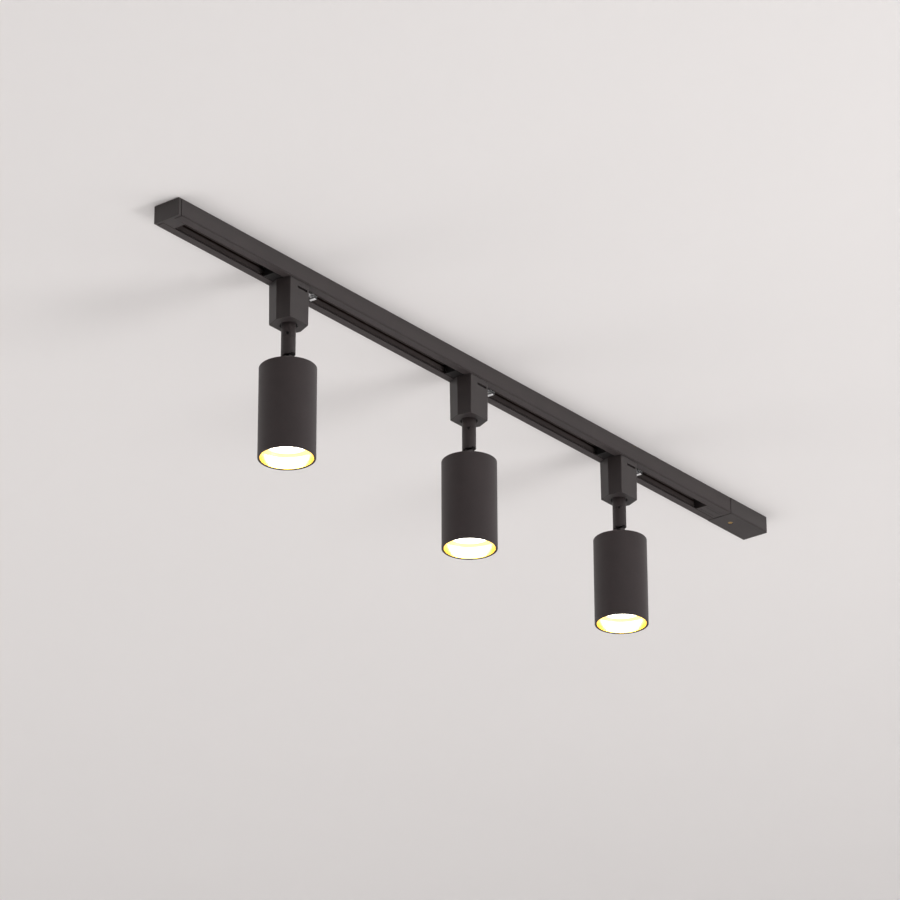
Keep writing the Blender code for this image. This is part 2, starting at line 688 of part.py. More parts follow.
def build_stem(number, swivel):
    radius = STEM_DIAMETER / 2
    flange_low = BLOCK_BOTTOM + STEM_NECK_LENGTH + GAP
    flange_high = flange_low + STEM_FLANGE_HEIGHT
    flange = radius + STEM_FLANGE_MARGIN
    seam = BLOCK_BOTTOM - STEM_SEAM_DROP
    profile = [
        (0, flange_high),
        (flange, flange_high),
        (flange, flange_low),
        (radius, flange_low),
        (radius, seam),
        (radius - STEM_SEAM_DEPTH, seam),
        (radius - STEM_SEAM_DEPTH, seam - STEM_SEAM_HEIGHT),
        (radius, seam - STEM_SEAM_HEIGHT),
        (radius, SHOULDER - HINGE_SKIRT),
        (0, SHOULDER - HINGE_SKIRT),
    ]
    stem = turned(f"stem_{number}", profile, STEM_SIDES, BLACK_METAL, swivel, (0, 0, 0), closed=False)
    notch_low = (-STEM_DIAMETER, -STEM_DIAMETER, SHOULDER - HINGE_SKIRT - GAP)
    notch = box_mesh("foot_notch", notch_low, (STEM_DIAMETER, GAP, SHOULDER + HINGE_NOTCH))
    cut(stem, new_object(f"foot_notch_{number}", notch, None, swivel))
    # flat_mesh's normal runs along -Y here, so the tongue on +Y spans negative depths.
    tongue = flat_mesh(
        "tongue",
        lap_outline(1, HINGE_RADIUS + STEM_SEAM_HEIGHT + GAP),
        -HINGE_HALF_LAP,
        -GAP / 2,
        Matrix.Translation((0, 0, PIVOT)) @ ALONG_Y,
    )
    join(stem, new_object(f"tongue_{number}", tongue, None, swivel))
    bore = rod_mesh("bore", (0, 0, SHOULDER - GAP / 2), (0, 0, flange_high + GAP), STEM_BORE, SMALL_SIDES)
    cut(stem, new_object(f"stem_bore_{number}", bore, None, swivel))
    pin_width = HINGE_SCREW_DIAMETER + 2 * GAP
    pin = rod_mesh("pin", (0, 0, PIVOT), (0, 2 * HINGE_HALF_LAP, PIVOT), pin_width, SMALL_SIDES)
    cut(stem, new_object(f"tongue_hole_{number}", pin, None, swivel))

    outward = Vector((math.cos(SET_SCREW_TURN), math.sin(SET_SCREW_TURN), 0))
    middle = Vector((0, 0, BLOCK_BOTTOM - SET_SCREW_DROP))
    surface = middle + outward * radius
    hole_width = SET_SCREW_DIAMETER + 2 * GAP
    hole_end = surface - outward * (SET_SCREW_LENGTH + 2 * GAP)
    hole = rod_mesh("set_hole", hole_end, surface + outward * radius / 2, hole_width, SMALL_SIDES)
    cut(stem, new_object(f"set_screw_hole_{number}", hole, None, swivel))

    name = f"set_screw_{number}"
    outer = surface - outward * GAP
    inner = outer - outward * SET_SCREW_LENGTH
    screw_mesh = rod_mesh(name, inner, outer, SET_SCREW_DIAMETER, SMALL_SIDES)
    screw = new_object(name, screw_mesh, DARK_STEEL, swivel)
    socket_end = outer - outward * SET_SCREW_LENGTH / 2
    socket = rod_mesh("socket", socket_end, outer + outward * radius, SET_SCREW_DIAMETER / 2, SOCKET_SIDES)
    cut(screw, new_object(f"set_screw_socket_{number}", socket, None, swivel))


def build_hinge(number, tilt):
    """The leaf on the head and the hinge screw, in heights about the screw."""
    head_top = HEAD_TOP - PIVOT
    name = f"hinge_leaf_{number}"
    reach = -(head_top + GAP)
    leaf = flat_mesh(name, lap_outline(-1, reach), GAP / 2, HINGE_HALF_LAP, ALONG_Y)
    leaf_item = new_object(name, leaf, BLACK_METAL, tilt)
    bridge_high = -HINGE_RADIUS - 2 * GAP
    bridge_half = RIVET_DIAMETER / 2 + GAP
    bridge_low = (-bridge_half, -HINGE_HALF_LAP / 2, head_top + GAP)
    bridge = box_mesh("bridge", bridge_low, (bridge_half, HINGE_HALF_LAP, bridge_high))
    join(leaf_item, new_object(f"leaf_bridge_{number}", bridge, None, tilt))
    inside = head_top - HEAD_TOP_THICKNESS - GAP
    profile = [
        (0, bridge_high - GAP),
        (RIVET_DIAMETER / 2, bridge_high - GAP),
        (RIVET_DIAMETER / 2, inside),
        (RIVET_HEAD_DIAMETER / 2, inside),
        (RIVET_HEAD_DIAMETER / 2, inside - RIVET_HEAD_HEIGHT),
        (0, inside - RIVET_HEAD_HEIGHT),
    ]
    rivet = turned(f"leaf_rivet_{number}", profile, SMALL_SIDES, None, tilt, (0, 0, 0), closed=False)
    join(leaf_item, rivet)
    hole_width = HINGE_SCREW_DIAMETER + 2 * GAP
    hole = rod_mesh("hole", (0, -2 * HINGE_HALF_LAP, 0), (0, GAP, 0), hole_width, SMALL_SIDES)
    cut(leaf_item, new_object(f"leaf_hole_{number}", hole, None, tilt))

    name = f"hinge_screw_{number}"
    head_start = -HINGE_HALF_LAP - GAP
    shank_start = (0, head_start - GAP, 0)
    shank = rod_mesh(name, shank_start, (0, HINGE_HALF_LAP, 0), HINGE_SCREW_DIAMETER, SMALL_SIDES)
    screw = new_object(name, shank, DARK_STEEL, tilt)
    head_end = head_start - HINGE_SCREW_HEAD_HEIGHT
    head = rod_mesh("head", (0, head_end, 0), (0, head_start, 0), HINGE_SCREW_HEAD_DIAMETER, SMALL_SIDES)
    join(screw, new_object(f"hinge_screw_head_{number}", head, None, tilt))


def build_head(number, tilt):
    """The housing, gilt sleeve, lamp and holder, in heights about the hinge screw."""
    top = HEAD_TOP - PIVOT
    bottom = HEAD_BOTTOM - PIVOT
    outer = HEAD_DIAMETER / 2
    inner = outer - HEAD_WALL
    hole = RIVET_DIAMETER / 2 + GAP
    under_top = top - HEAD_TOP_THICKNESS
    housing = [
        (hole, top),
        (outer - HEAD_TOP_CHAMFER, top),
        (outer, top - HEAD_TOP_CHAMFER),
        (outer, bottom),
        (inner, bottom),
        (inner, under_top),
        (hole, under_top),
    ]
    turned(f"head_housing_{number}", housing, ROUND_SIDES, BLACK_PAINT, tilt, (0, 0, 0))

    sleeve_outer = inner - GAP
    sleeve_inner = sleeve_outer - SLEEVE_WALL
    shelf_low = bottom + LAMP_DEPTH + LENS_DOME
    shelf_high = shelf_low + SLEEVE_WALL
    sleeve_low = bottom + SLEEVE_RECESS
    opening = LAMP_DIAMETER / 2 - LEDGE_OVERLAP
    sleeve = [
        (sleeve_inner, shelf_high + SLEEVE_BACK),
        (sleeve_outer, shelf_high + SLEEVE_BACK),
        (sleeve_outer, sleeve_low),
        (sleeve_inner, sleeve_low),
        (sleeve_inner, shelf_low),
        (opening, shelf_low),
        (opening, shelf_high),
        (sleeve_inner, shelf_high),
    ]
    turned(f"gilt_sleeve_{number}", sleeve, ROUND_SIDES, GOLD, tilt, (0, 0, 0))

    ring_low = shelf_high + GAP
    lamp_top = ring_low + LAMP_LENGTH
    radius = LAMP_DIAMETER / 2
    base = LAMP_BASE_DIAMETER / 2
    lens_seat = ring_low + LENS_THICKNESS
    lamp = [
        (0, lamp_top),
        (base, lamp_top),
        (base, lamp_top - LAMP_BASE_LENGTH),
        (radius, ring_low + LAMP_RING_HEIGHT),
        (radius, ring_low),
        (radius - LAMP_RING_WALL, ring_low),
        (radius - LAMP_RING_WALL, lens_seat),
        (0, lens_seat),
    ]
    turned(f"lamp_body_{number}", lamp, STEM_SIDES, LAMP_WHITE, tilt, (0, 0, 0), closed=False)
    lens_radius = radius - LAMP_RING_WALL - GAP
    lens = [
        (0, lens_seat - GAP),
        (lens_radius, lens_seat - GAP),
        (lens_radius, ring_low),
        (lens_radius * LENS_KNEE[0], ring_low - LENS_DOME * LENS_KNEE[1]),
        (0, ring_low - LENS_DOME),
    ]
    turned(f"lamp_lens_{number}", lens, STEM_SIDES, LENS, tilt, (0, 0, 0), closed=False)

    holder_low = lamp_top + GAP
    holder_high = holder_low + HOLDER_HEIGHT
    neck_top = under_top - 2 * GAP - RIVET_HEAD_HEIGHT
    neck = HOLDER_NECK_DIAMETER / 2
    holder = [
        (0, neck_top),
        (neck, neck_top),
        (neck, holder_high),
        (HOLDER_DIAMETER / 2, holder_high),
        (HOLDER_DIAMETER / 2, holder_low),
        (0, holder_low),
    ]
    turned(f"lamp_holder_{number}", holder, SMALL_SIDES, CERAMIC, tilt, (0, 0, 0), closed=False)


def new_empty(name, parent, shift):
    empty = bpy.data.objects.new(name, None)
    PARTS.objects.link(empty)
    empty.empty_display_size = 0.01
    empty.parent = parent
    empty.location = shift
    return empty


clear_scene()
PARTS = new_collection("track_light")
CUTTERS = new_collection("cutters")
BLACK_METAL = new_material("black powder-coated aluminium", (0.035, 0.033, 0.032), 0.55, 0.1)
BLACK_PAINT = new_material("black painted steel", (0.038, 0.034, 0.032), 0.6, 0.1)
BLACK_PLASTIC = new_material("black moulded plastic", (0.036, 0.035, 0.035), 0.5)
GREY_PLASTIC = new_material("dark grey insulating plastic", (0.045, 0.045, 0.047), 0.55)
COPPER = new_material("copper", (0.72, 0.38, 0.22), 0.35, 1.0)
BRASS = new_material("brass", (0.75, 0.58, 0.30), 0.3, 1.0)
DARK_STEEL = new_material("blackened steel", (0.06, 0.06, 0.06), 0.4, 0.8)
BRIGHT_STEEL = new_material("bright spring steel", (0.78, 0.78, 0.78), 0.25, 1.0)
GOLD = new_material("gilt", (0.95, 0.62, 0.14), 0.22, 1.0)
CERAMIC = new_material("white ceramic", (0.82, 0.81, 0.78), 0.4)
LAMP_WHITE = new_material("white lamp body", (0.80, 0.80, 0.79), 0.35)
LENS = new_material("frosted lamp glass", (0.98, 0.93, 0.80), 0.3)

build_rail()
build_insulators()
build_end_cap()
build_feed()
for place_number, place in enumerate(HEAD_PLACES, start=1):
    slide_empty = new_empty(f"slide_axis_{place_number}", None, (place, 0, 0))
    swivel_empty = new_empty(f"swivel_axis_{place_number}", slide_empty, (0, 0, 0))
    tilt_empty = new_empty(f"tilt_axis_{place_number}", swivel_empty, (0, 0, PIVOT))
    latch_empty = new_empty(f"latch_axis_{place_number}", slide_empty, (LATCH_PIVOT_X, 0, LATCH_PIVOT))
    build_adapter(place_number, slide_empty)
    build_carrier(place_number, slide_empty)
    build_latch(place_number, latch_empty)
    build_stem(place_number, swivel_empty)
    build_hinge(place_number, tilt_empty)
    build_head(place_number, tilt_empty)
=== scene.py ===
"""Track light: the looks of a ceiling rail with three spot heads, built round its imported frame.

Lengths are in metres. The frame's origin is the middle of the rail's ceiling face, +X runs along the
rail from the end cap to the feed, and +Z points up to the ceiling.
"""

import json
import math

import bmesh
import bpy
from bpy.props import FloatProperty, FloatVectorProperty, PointerProperty
from mathutils import Matrix, Vector


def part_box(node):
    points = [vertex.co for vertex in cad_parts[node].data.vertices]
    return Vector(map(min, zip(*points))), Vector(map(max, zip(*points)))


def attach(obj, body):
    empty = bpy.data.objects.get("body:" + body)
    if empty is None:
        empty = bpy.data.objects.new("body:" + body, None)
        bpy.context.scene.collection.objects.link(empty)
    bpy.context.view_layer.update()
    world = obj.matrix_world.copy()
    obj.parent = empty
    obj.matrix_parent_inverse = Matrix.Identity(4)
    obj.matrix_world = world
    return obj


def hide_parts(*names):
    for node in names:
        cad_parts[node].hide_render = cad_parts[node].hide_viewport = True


bl_info = {
    "name": "Track Light",
    "version": (1, 0, 0),
    "blender": (4, 5, 0),
    "location": "View3D > Sidebar > Track Light",
    "description": "Builds the finished pieces of a ceiling track light round its packed frame",
    "category": "Object",
}

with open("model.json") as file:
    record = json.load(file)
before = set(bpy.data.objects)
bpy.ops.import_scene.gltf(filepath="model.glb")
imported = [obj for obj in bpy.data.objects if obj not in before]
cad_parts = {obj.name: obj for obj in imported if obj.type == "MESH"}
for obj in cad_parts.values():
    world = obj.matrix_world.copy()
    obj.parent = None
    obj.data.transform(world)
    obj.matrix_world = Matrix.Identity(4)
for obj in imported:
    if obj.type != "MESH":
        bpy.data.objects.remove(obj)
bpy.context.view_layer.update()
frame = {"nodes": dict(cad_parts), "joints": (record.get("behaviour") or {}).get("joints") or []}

# What the frame says about the rail, and the places of the three heads' axes.
RAIL_LOW, RAIL_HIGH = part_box("track_rail")
HEADS = (1, 2, 3)
JOINTS = {joint["name"]: joint for joint in frame["joints"]}
STEM_AXIS = {n: Vector(JOINTS[f"stem_swivel_{n}"]["pos_m"]) for n in HEADS}
HEAD_PLACE = {n: (STEM_AXIS[n].x, 0, 0) for n in HEADS}
TILT_AXIS = {n: Vector(JOINTS[f"head_tilt_{n}"]["pos_m"]) for n in HEADS}
LATCH_AXIS = {n: Vector(JOINTS[f"latch_pull_{n}"]["pos_m"]) for n in HEADS}

# Clearance between neighbouring pieces, and the smallest rounding of a corner.
GAP = 0.0003
CRISP = 0.00005

# Steps in a rounded corner, and sides of round pieces.
CORNER_STEPS = 3
HEAD_SIDES = 112
STEM_SIDES = 64
SCREW_SIDES = 32
CREASE = math.radians(38)

# Turns of a flat outline: its (across, up) lie along (Y, Z), (X, Z) or (X, Y).
ALONG_X = Matrix(((0, 0, 1, 0), (1, 0, 0, 0), (0, 1, 0, 0), (0, 0, 0, 1)))
ALONG_Y = Matrix(((1, 0, 0, 0), (0, 0, -1, 0), (0, 1, 0, 0), (0, 0, 0, 1)))
UPRIGHT = Matrix.Identity(4)


# ---- Sizes, colours and stage values that a user would change --------------------------------


def length(name, description, default):
    return FloatProperty(
        name=name, description=description, default=default, min=0.0, unit="LENGTH", precision=5
    )


def colour(name, description, default):
    return FloatVectorProperty(
        name=name, description=description, default=default, size=3, min=0.0, max=1.0, subtype="COLOR"
    )


def power(name, description, default):
    return FloatProperty(name=name, description=description, default=default, min=0.0, unit="POWER")


def number(name, description, default):
    return FloatProperty(name=name, description=description, default=default, min=0.0)


def turn(name, description, degrees):
    return FloatProperty(name=name, description=description, default=math.radians(degrees), unit="ROTATION")


CAMERA_PLACE = (-3.5084, -2.7680, -2.1473)


class TrackLightSizes(bpy.types.PropertyGroup):
    slot_width: length("Slot width", "Width of the rail's slot", 0.016)
    rail_wall: length("Rail wall", "Thickness of the rail's side walls", 0.0015)
    rail_roof: length("Rail roof", "Thickness of the rail's roof", 0.0016)
    rail_lip: length("Rail lip", "Thickness of the lips beside the slot", 0.0015)
    rail_edge: length("Rail edge", "Rounding of the rail's outer edges", 0.0004)
    groove_depth: length("Groove depth", "Depth of the line along the rail's sides", 0.0008)
    groove_height: length("Groove height", "Height of the line along the rail's sides", 0.0007)
    groove_rise: length("Groove rise", "Height of that line above the rail's lower edge", 0.0009)
    moulded_edge: length("Moulded edge", "Rounding of the end cap's and the feed's edges", 0.0007)
    seam_width: length("Seam width", "Width and depth of the shadow lines at the rail's two ends", 0.0007)
    block_edge: length("Block edge", "Rounding of the adapter blocks' edges", 0.0007)
    head_edge: length("Head edge", "Rounding of the head's upper edge", 0.0006)
    head_rim: length("Head rim", "Rounding of the rim round the head's mouth", 0.0004)
    head_wall: length("Head wall", "Thickness of the head's tube", 0.0017)
    head_roof: length("Head roof", "Thickness of the head's top", 0.002)


class TrackLightColours(bpy.types.PropertyGroup):
    rail_black: colour(
        "Rail black", "Powder coat of the rail, the stems and the hinges", (0.0265, 0.0176, 0.0179)
    )
    head_black: colour("Head black", "Warm powder coat of the heads", (0.0268, 0.0172, 0.0181))
    moulded_black: colour(
        "Moulded black", "Plastic of the blocks, the end cap and the feed", (0.0225, 0.0155, 0.0155)
    )
    # Darker than the other moulded blacks: the plastic's own black with painted shade of the slot in it.
    carrier_shaded_black: colour(
        "Carrier black", "Plastic of the contact carriers in the slot", (0.013, 0.0115, 0.0115)
    )
    insulator_grey: colour("Insulator grey", "Plastic of the strips in the rail", (0.075, 0.062, 0.060))
    # Far darker than bright copper: tarnish, with painted shade of the rail's slot in it.
    copper: colour("Copper", "Conductors and earth strip", (0.13, 0.088, 0.075))
    brass: colour("Brass", "Contacts and the feed's screw", (0.66, 0.47, 0.20))
    dark_steel: colour("Dark steel", "Blackened screws and rings", (0.034, 0.032, 0.032))
    bright_steel: colour("Bright steel", "Spring steel of the latch tabs", (0.72, 0.72, 0.72))
    gilt: colour("Gilt", "Inner wall of the heads", (1.0, 0.76, 0.22))
    ceramic: colour("Ceramic", "Lamp holders", (0.78, 0.76, 0.72))
    lamp_white: colour("Lamp white", "Shells of the lamps", (0.76, 0.75, 0.73))
    lamp_glow: colour("Lamp glow", "Light of the lamps' fronts", (1.0, 0.93, 0.80))
    ceiling: colour("Ceiling", "Plaster of the ceiling", (0.80, 0.778, 0.775))
    floor: colour("Floor", "Plain floor below", (0.78, 0.77, 0.76))


class TrackLightStage(bpy.types.PropertyGroup):
    glow_strength: number("Glow", "Strength of the lamps' fronts", 9.0)
    # Painted lamplight: strength of the glow given to the gilt walls in place of the lamps' light falling on
    # them.
    painted_lamplight_strength: number("Haze", "Strength of the lamps' haze on the gilt", 1.05)
    key_power: power("Key", "Power of the main soft light below and before the rail", 26.0)
    side_power: power("Side", "Power of the soft light at the feed's end", 17.0)
    back_power: power("Back", "Power of the wide light behind the rail", 26.0)
    room_power: power("Room", "Power of the very wide light low in the room", 82.0)
    top_power: power("Top", "Power of the light above the ceiling face, which lights the tops", 60.0)
    world_strength: number("Air", "Strength of the even pale light", 0.28)
    backdrop_strength: number("Backdrop", "Brightness of the plain pale backdrop behind the room", 0.82)
    floor_lift: number("Floor lift", "Extra paleness of the floor as seen", 0.42)
    room_height: length("Room height", "Height of the ceiling above the floor", 3.3)
    ceiling_width: length("Ceiling width", "Width of the ceiling panel", 16.0)
    camera_place: FloatVectorProperty(
        name="Camera place", description="Where the camera stands", default=CAMERA_PLACE, unit="LENGTH"
    )
    camera_heading: turn("Heading", "Turn of the view from +Y towards +X", 51.523)
    camera_rise: turn("Rise", "Upward tilt of the view", 24.519)
    camera_roll: turn("Roll", "Turn of the camera about its view", -0.199)
    camera_lens: number("Lens", "Focal length in millimetres", 174.26)


# ---- Outlines and solids ---------------------------------------------------------------------


def signed_area(points):
    following = points[1:] + points[:1]
    return sum(a.x * b.y - b.x * a.y for a, b in zip(points, following)) / 2


def corner_arc(before, corner, after, radius, inset):
    """Points of one rounded corner of an anticlockwise outline moved inward by inset, as (x, y, edge)."""
    arriving = (corner - before).normalized()
    leaving = (after - corner).normalized()
    left_in = Vector((-arriving.y, arriving.x))
    left_out = Vector((-leaving.y, leaving.x))
    moved = corner + (left_in + left_out) * inset / (1 + left_in.dot(left_out))
    turn = math.atan2(arriving.x * leaving.y - arriving.y * leaving.x, arriving.dot(leaving))
    side = 1 if turn > 0 else -1
    kept = max(radius - side * inset, CRISP)
    start = moved - arriving * kept * math.tan(abs(turn) / 2)
    centre = start + left_in * side * kept
    points = []
    for step in range(CORNER_STEPS + 1):
        spin = Matrix.Rotation(turn * step / CORNER_STEPS, 2)
        point = centre + spin @ (start - centre)
        points.append((point.x, point.y, float(0 < step < CORNER_STEPS)))
    return points


def rounded(corners, radii, inset=0.0):
    """A closed outline with rounded corners, moved inward by inset. Radii is one value, or one a corner."""
    points = [Vector(corner) for corner in corners]
    if not hasattr(radii, "__len__"):
        radii = [radii] * len(points)
    radii = list(radii)
    if signed_area(points) < 0:
        points.reverse()
        radii.reverse()
    outline = []
    for i, point in enumerate(points):
        outline += corner_arc(points[i - 1], point, points[(i + 1) % len(points)], radii[i], inset)
    return outline


def softened(corners, radius):
    """An open path with its inner corners rounded, as (x, y, edge)."""
    points = [Vector(corner) for corner in corners]
    path = [(*points[0], 0.0)]
    for before, corner, after in zip(points, points[1:], points[2:]):
        path += corner_arc(before, corner, after, radius, 0.0)
    return path + [(*points[-1], 0.0)]


def loft(rings, closed=False):
    """A closed surface through rings of (x, y, z, edge). Closed joins the last ring to the first."""
    shape = bmesh.new()
    edge = shape.verts.layers.float.new("edge")
    rows = []
    for ring in rings:
        row = []
        for x, y, z, mark in ring:
            vertex = shape.verts.new((x, y, z))
            vertex[edge] = mark
            row.append(vertex)
        rows.append(row)
    pairs = list(zip(rows, rows[1:]))
    if closed:
        pairs.append((rows[-1], rows[0]))
    for lower, upper in pairs:
        for i in range(len(lower)):
            shape.faces.new((lower[i - 1], lower[i], upper[i], upper[i - 1]))
    if not closed:
        shape.faces.new(rows[0][::-1])
        shape.faces.new(rows[-1])
    bmesh.ops.remove_doubles(shape, verts=shape.verts, dist=1e-7)
    bmesh.ops.recalc_face_normals(shape, faces=shape.faces)
    return shape


def end_steps(low, high, low_end, high_end):
    """The steps of a sweep with rounded ends, as (place, inset, edge)."""
    for end, place, inward in ((low_end, low, 1), (high_end, high, -1)):
        for step in range(CORNER_STEPS + 1)[::inward]:
            angle = math.pi / 2 * step / CORNER_STEPS
            height = place + inward * end * (1 - math.cos(angle))
            yield height, end * (1 - math.sin(angle)), float(0 < step < CORNER_STEPS)


def prism(corners, radii, low, high, ends, taper=1.0):
    """An outline swept from low to high, its two ends rounded by ends, one value or (low, high)."""
    low_end, high_end = ends if hasattr(ends, "__len__") else (ends, ends)
    rings = []
    for height, inset, mark in end_steps(low, high, low_end, high_end):
        scale = taper + (1 - taper) * (height - low) / (high - low)
        outline = rounded(corners, radii, inset)
        rings.append([(x * scale, y * scale, height, max(mark, on)) for x, y, on in outline])
    return loft(rings)


def block(low, high, radius):
    """A box with all its edges rounded."""
    corners = [(low[0], low[1]), (high[0], low[1]), (high[0], high[1]), (low[0], high[1])]
    return prism(corners, radius, low[2], high[2], radius)


def ring_at(radius, height, mark, sides):
    angles = [2 * math.pi * i / sides for i in range(sides)]
    return [(radius * math.cos(a), radius * math.sin(a), height, mark) for a in angles]


def turned(profile, radii, sides, hollow=False):
    """A turned piece from (radius, height) corners: a closed section if hollow, else a path off the axis."""
    section = rounded(profile, radii) if hollow else softened(profile, radii)
    return loft([ring_at(max(r, 1e-6), z, mark, sides) for r, z, mark in section], closed=hollow)


def placed(shape, matrix):
    bmesh.ops.transform(shape, matrix=matrix, verts=shape.verts)
    return shape


def both_sides(half):
    """A closed outline that mirrors a half outline about its first coordinate."""
    return half + [(-across, up) for across, up in reversed(half)]


def ribbon(path, thickness):
    """Corners of a strip of even thickness along an open path."""
    left = []
    right = []
    for i, point in enumerate(path):
        before = Vector(path[max(i - 1, 0)])
        after = Vector(path[min(i + 1, len(path) - 1)])
        along = (after - before).normalized()
        side = Vector((-along.y, along.x)) * thickness / 2
        left.append(tuple(Vector(point) + side))
        right.append(tuple(Vector(point) - side))
    return left + right[::-1]


def strip(path, thickness, low, high, edge):
    """A bent strip: a ribbon along path, from low to high across its width, its long edges rounded."""
    rings = []
    for height, inset, mark in end_steps(low, high, edge, edge):
        rings.append([(x, y, height, mark) for x, y in ribbon(path, thickness - 2 * inset)])
    return loft(rings)


def arc(centre, radius, start, end, count):
    """Points on an arc, from the start angle to the end angle in degrees."""
    angles = [math.radians(start + (end - start) * i / count) for i in range(count + 1)]
    return [(centre[0] + radius * math.cos(a), centre[1] + radius * math.sin(a)) for a in angles]


def draft_object(name, shape):
    mesh = bpy.data.meshes.new(name)
    shape.to_mesh(mesh)
    shape.free()
    item = bpy.data.objects.new(name, mesh)
    bpy.context.scene.collection.objects.link(item)
    return item


def worked(item, shape, operation):
    """Cuts a shape from an object, or joins it on, and keeps the result as the object's own mesh."""
    tool = draft_object("tool", shape)
    modifier = item.modifiers.new("Work", "BOOLEAN")
    modifier.operation = operation
    modifier.solver = "EXACT"
    modifier.object = tool
    before = item.data
    mesh = bpy.data.meshes.new_from_object(item.evaluated_get(bpy.context.evaluated_depsgraph_get()))
    if len(mesh.polygons) <= 0:
        raise RuntimeError(f"{item.name}: nothing is left after a {operation.lower()}")
    item.modifiers.clear()
    item.data = mesh
    bpy.data.meshes.remove(before)
    tool_mesh = tool.data
    bpy.data.objects.remove(tool, do_unlink=True)
    bpy.data.meshes.remove(tool_mesh)
    return item


def cut(item, shape):
    return worked(item, shape, "DIFFERENCE")


def join(item, shape):
    return worked(item, shape, "UNION")


def finished(item, finish, body, nodes=(), place=(0, 0, 0)):
    """Shades a piece, gives it its finish and its place, and lets it ride on a body in place of CAD nodes."""
    mesh = item.data
    mesh.materials.clear()
    mesh.materials.append(material_for(finish))
    mesh.shade_smooth()
    mesh.set_sharp_from_angle(angle=CREASE)
    item.location = place
    even = item.modifiers.new("Even shading", "WEIGHTED_NORMAL")
    even.keep_sharp = True
    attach(item, body)
    if nodes:
        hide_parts(*nodes)
    return item


def refinish(node, finish):
    """A better material for a CAD node that stays as it is."""
    item = frame["nodes"][node]
    item.data.materials.clear()
    item.data.materials.append(material_for(finish))


# ---- Shader nodes and groups ----------------------------------------------------------------


def feed(tree, value, socket):
    """Links a socket to another socket, or sets its value."""
    if isinstance(value, bpy.types.NodeSocket):
        tree.links.new(value, socket)
    else:
        socket.default_value = value


def node(tree, kind, settings=None, inputs=None):
    made = tree.nodes.new(kind)
    for key, value in (settings or {}).items():
        setattr(made, key, value)
    for key, value in (inputs or {}).items():
        feed(tree, value, made.inputs[key])
    return made


def noise(tree, vector, scale, detail, roughness, distortion=0.0):
    inputs = {
        "Vector": vector, "Scale": scale, "Detail": detail, "Roughness": roughness, "Distortion": distortion
    }
    return node(tree, "ShaderNodeTexNoise", None, inputs).outputs[0]


def spread(tree, source, low, high, new_low=0.0, new_high=1.0):
    """A value moved from one range to another, and held inside it."""
    inputs = {"Value": source, "From Min": low, "From Max": high, "To Min": new_low, "To Max": new_high}
    return node(tree, "ShaderNodeMapRange", {"clamp": True}, inputs).outputs[0]


def reckoned(tree, operation, first, second):
    return node(tree, "ShaderNodeMath", {"operation": operation}, {0: first, 1: second}).outputs[0]


def blend(tree, factor, first, second):
    """A mix of two colours, whose sockets share their names with those of the node's other kinds."""
    made = node(tree, "ShaderNodeMix", {"data_type": "RGBA"}, {0: factor})
    colours = [socket for socket in made.inputs if socket.type == "RGBA"]
    feed(tree, first, colours[0])
    feed(tree, second, colours[1])
    return [socket for socket in made.outputs if socket.type == "RGBA"][0]


def parts_of(tree, vector):
    return node(tree, "ShaderNodeSeparateXYZ", None, {0: vector}).outputs


def across(tree, vector):
    """The part of a vector across the local Z axis."""
    parts = parts_of(tree, vector)
    return node(tree, "ShaderNodeCombineXYZ", None, {"X": parts["X"], "Y": parts["Y"]}).outputs[0]


def reach_of(tree, vector):
    return node(tree, "ShaderNodeVectorMath", {"operation": "LENGTH"}, {0: vector}).outputs["Value"]


def new_group(name, inputs):
    """A shader group with the object's coordinates and named inputs, each of the kind of its default."""
    group = bpy.data.node_groups.new(name, "ShaderNodeTree")
    group.interface.new_socket("Vector", in_out="INPUT", socket_type="NodeSocketVector")
    kinds = {1: "NodeSocketFloat", 3: "NodeSocketVector", 4: "NodeSocketColor"}
    for label, default in inputs.items():
        kind = kinds[len(default) if hasattr(default, "__len__") else 1]
        group.interface.new_socket(label, in_out="INPUT", socket_type=kind).default_value = default
    return group, group.nodes.new("NodeGroupInput").outputs


def give(group, outputs):
    """Adds the group's named outputs, each of the kind of the socket that feeds it."""
    for label, source in outputs.items():
        kind = "NodeSocketColor" if source.type == "RGBA" else "NodeSocketFloat"
        group.interface.new_socket(label, in_out="OUTPUT", socket_type=kind)
    end = group.nodes.new("NodeGroupOutput")
    for label, source in outputs.items():
        group.links.new(source, end.inputs[label])
    return group


GREY = (0.5, 0.5, 0.5, 1.0)
BLACK = (0.0, 0.0, 0.0, 1.0)


def grain_group():
    """Two sizes of fine unevenness: the soft peel of a coating and the grain on top of it."""
    group, given = new_group("Fine grain", {"Peel Scale": 700.0, "Grain Scale": 4200.0, "Grain Share": 0.5})
    peel = noise(group, given["Vector"], given["Peel Scale"], 2.0, 0.5)
    grain = noise(group, given["Vector"], given["Grain Scale"], 3.0, 0.62)
    mixed = node(group, "ShaderNodeMix", {"data_type": "FLOAT"}, {0: given["Grain Share"], 2: peel, 3: grain})
    return give(group, {"Height": mixed.outputs[0]})


def drift_group():
    """Slow drift between two tones of a colour, over stretches of a few centimetres."""
    group, given = new_group("Colour drift", {"Colour": GREY, "Other Colour": GREY, "Scale": 40.0})
    cloud = spread(group, noise(group, given["Vector"], given["Scale"], 4.0, 0.6, 0.3), 0.32, 0.68)
    return give(group, {"Colour": blend(group, cloud, given["Colour"], given["Other Colour"])})


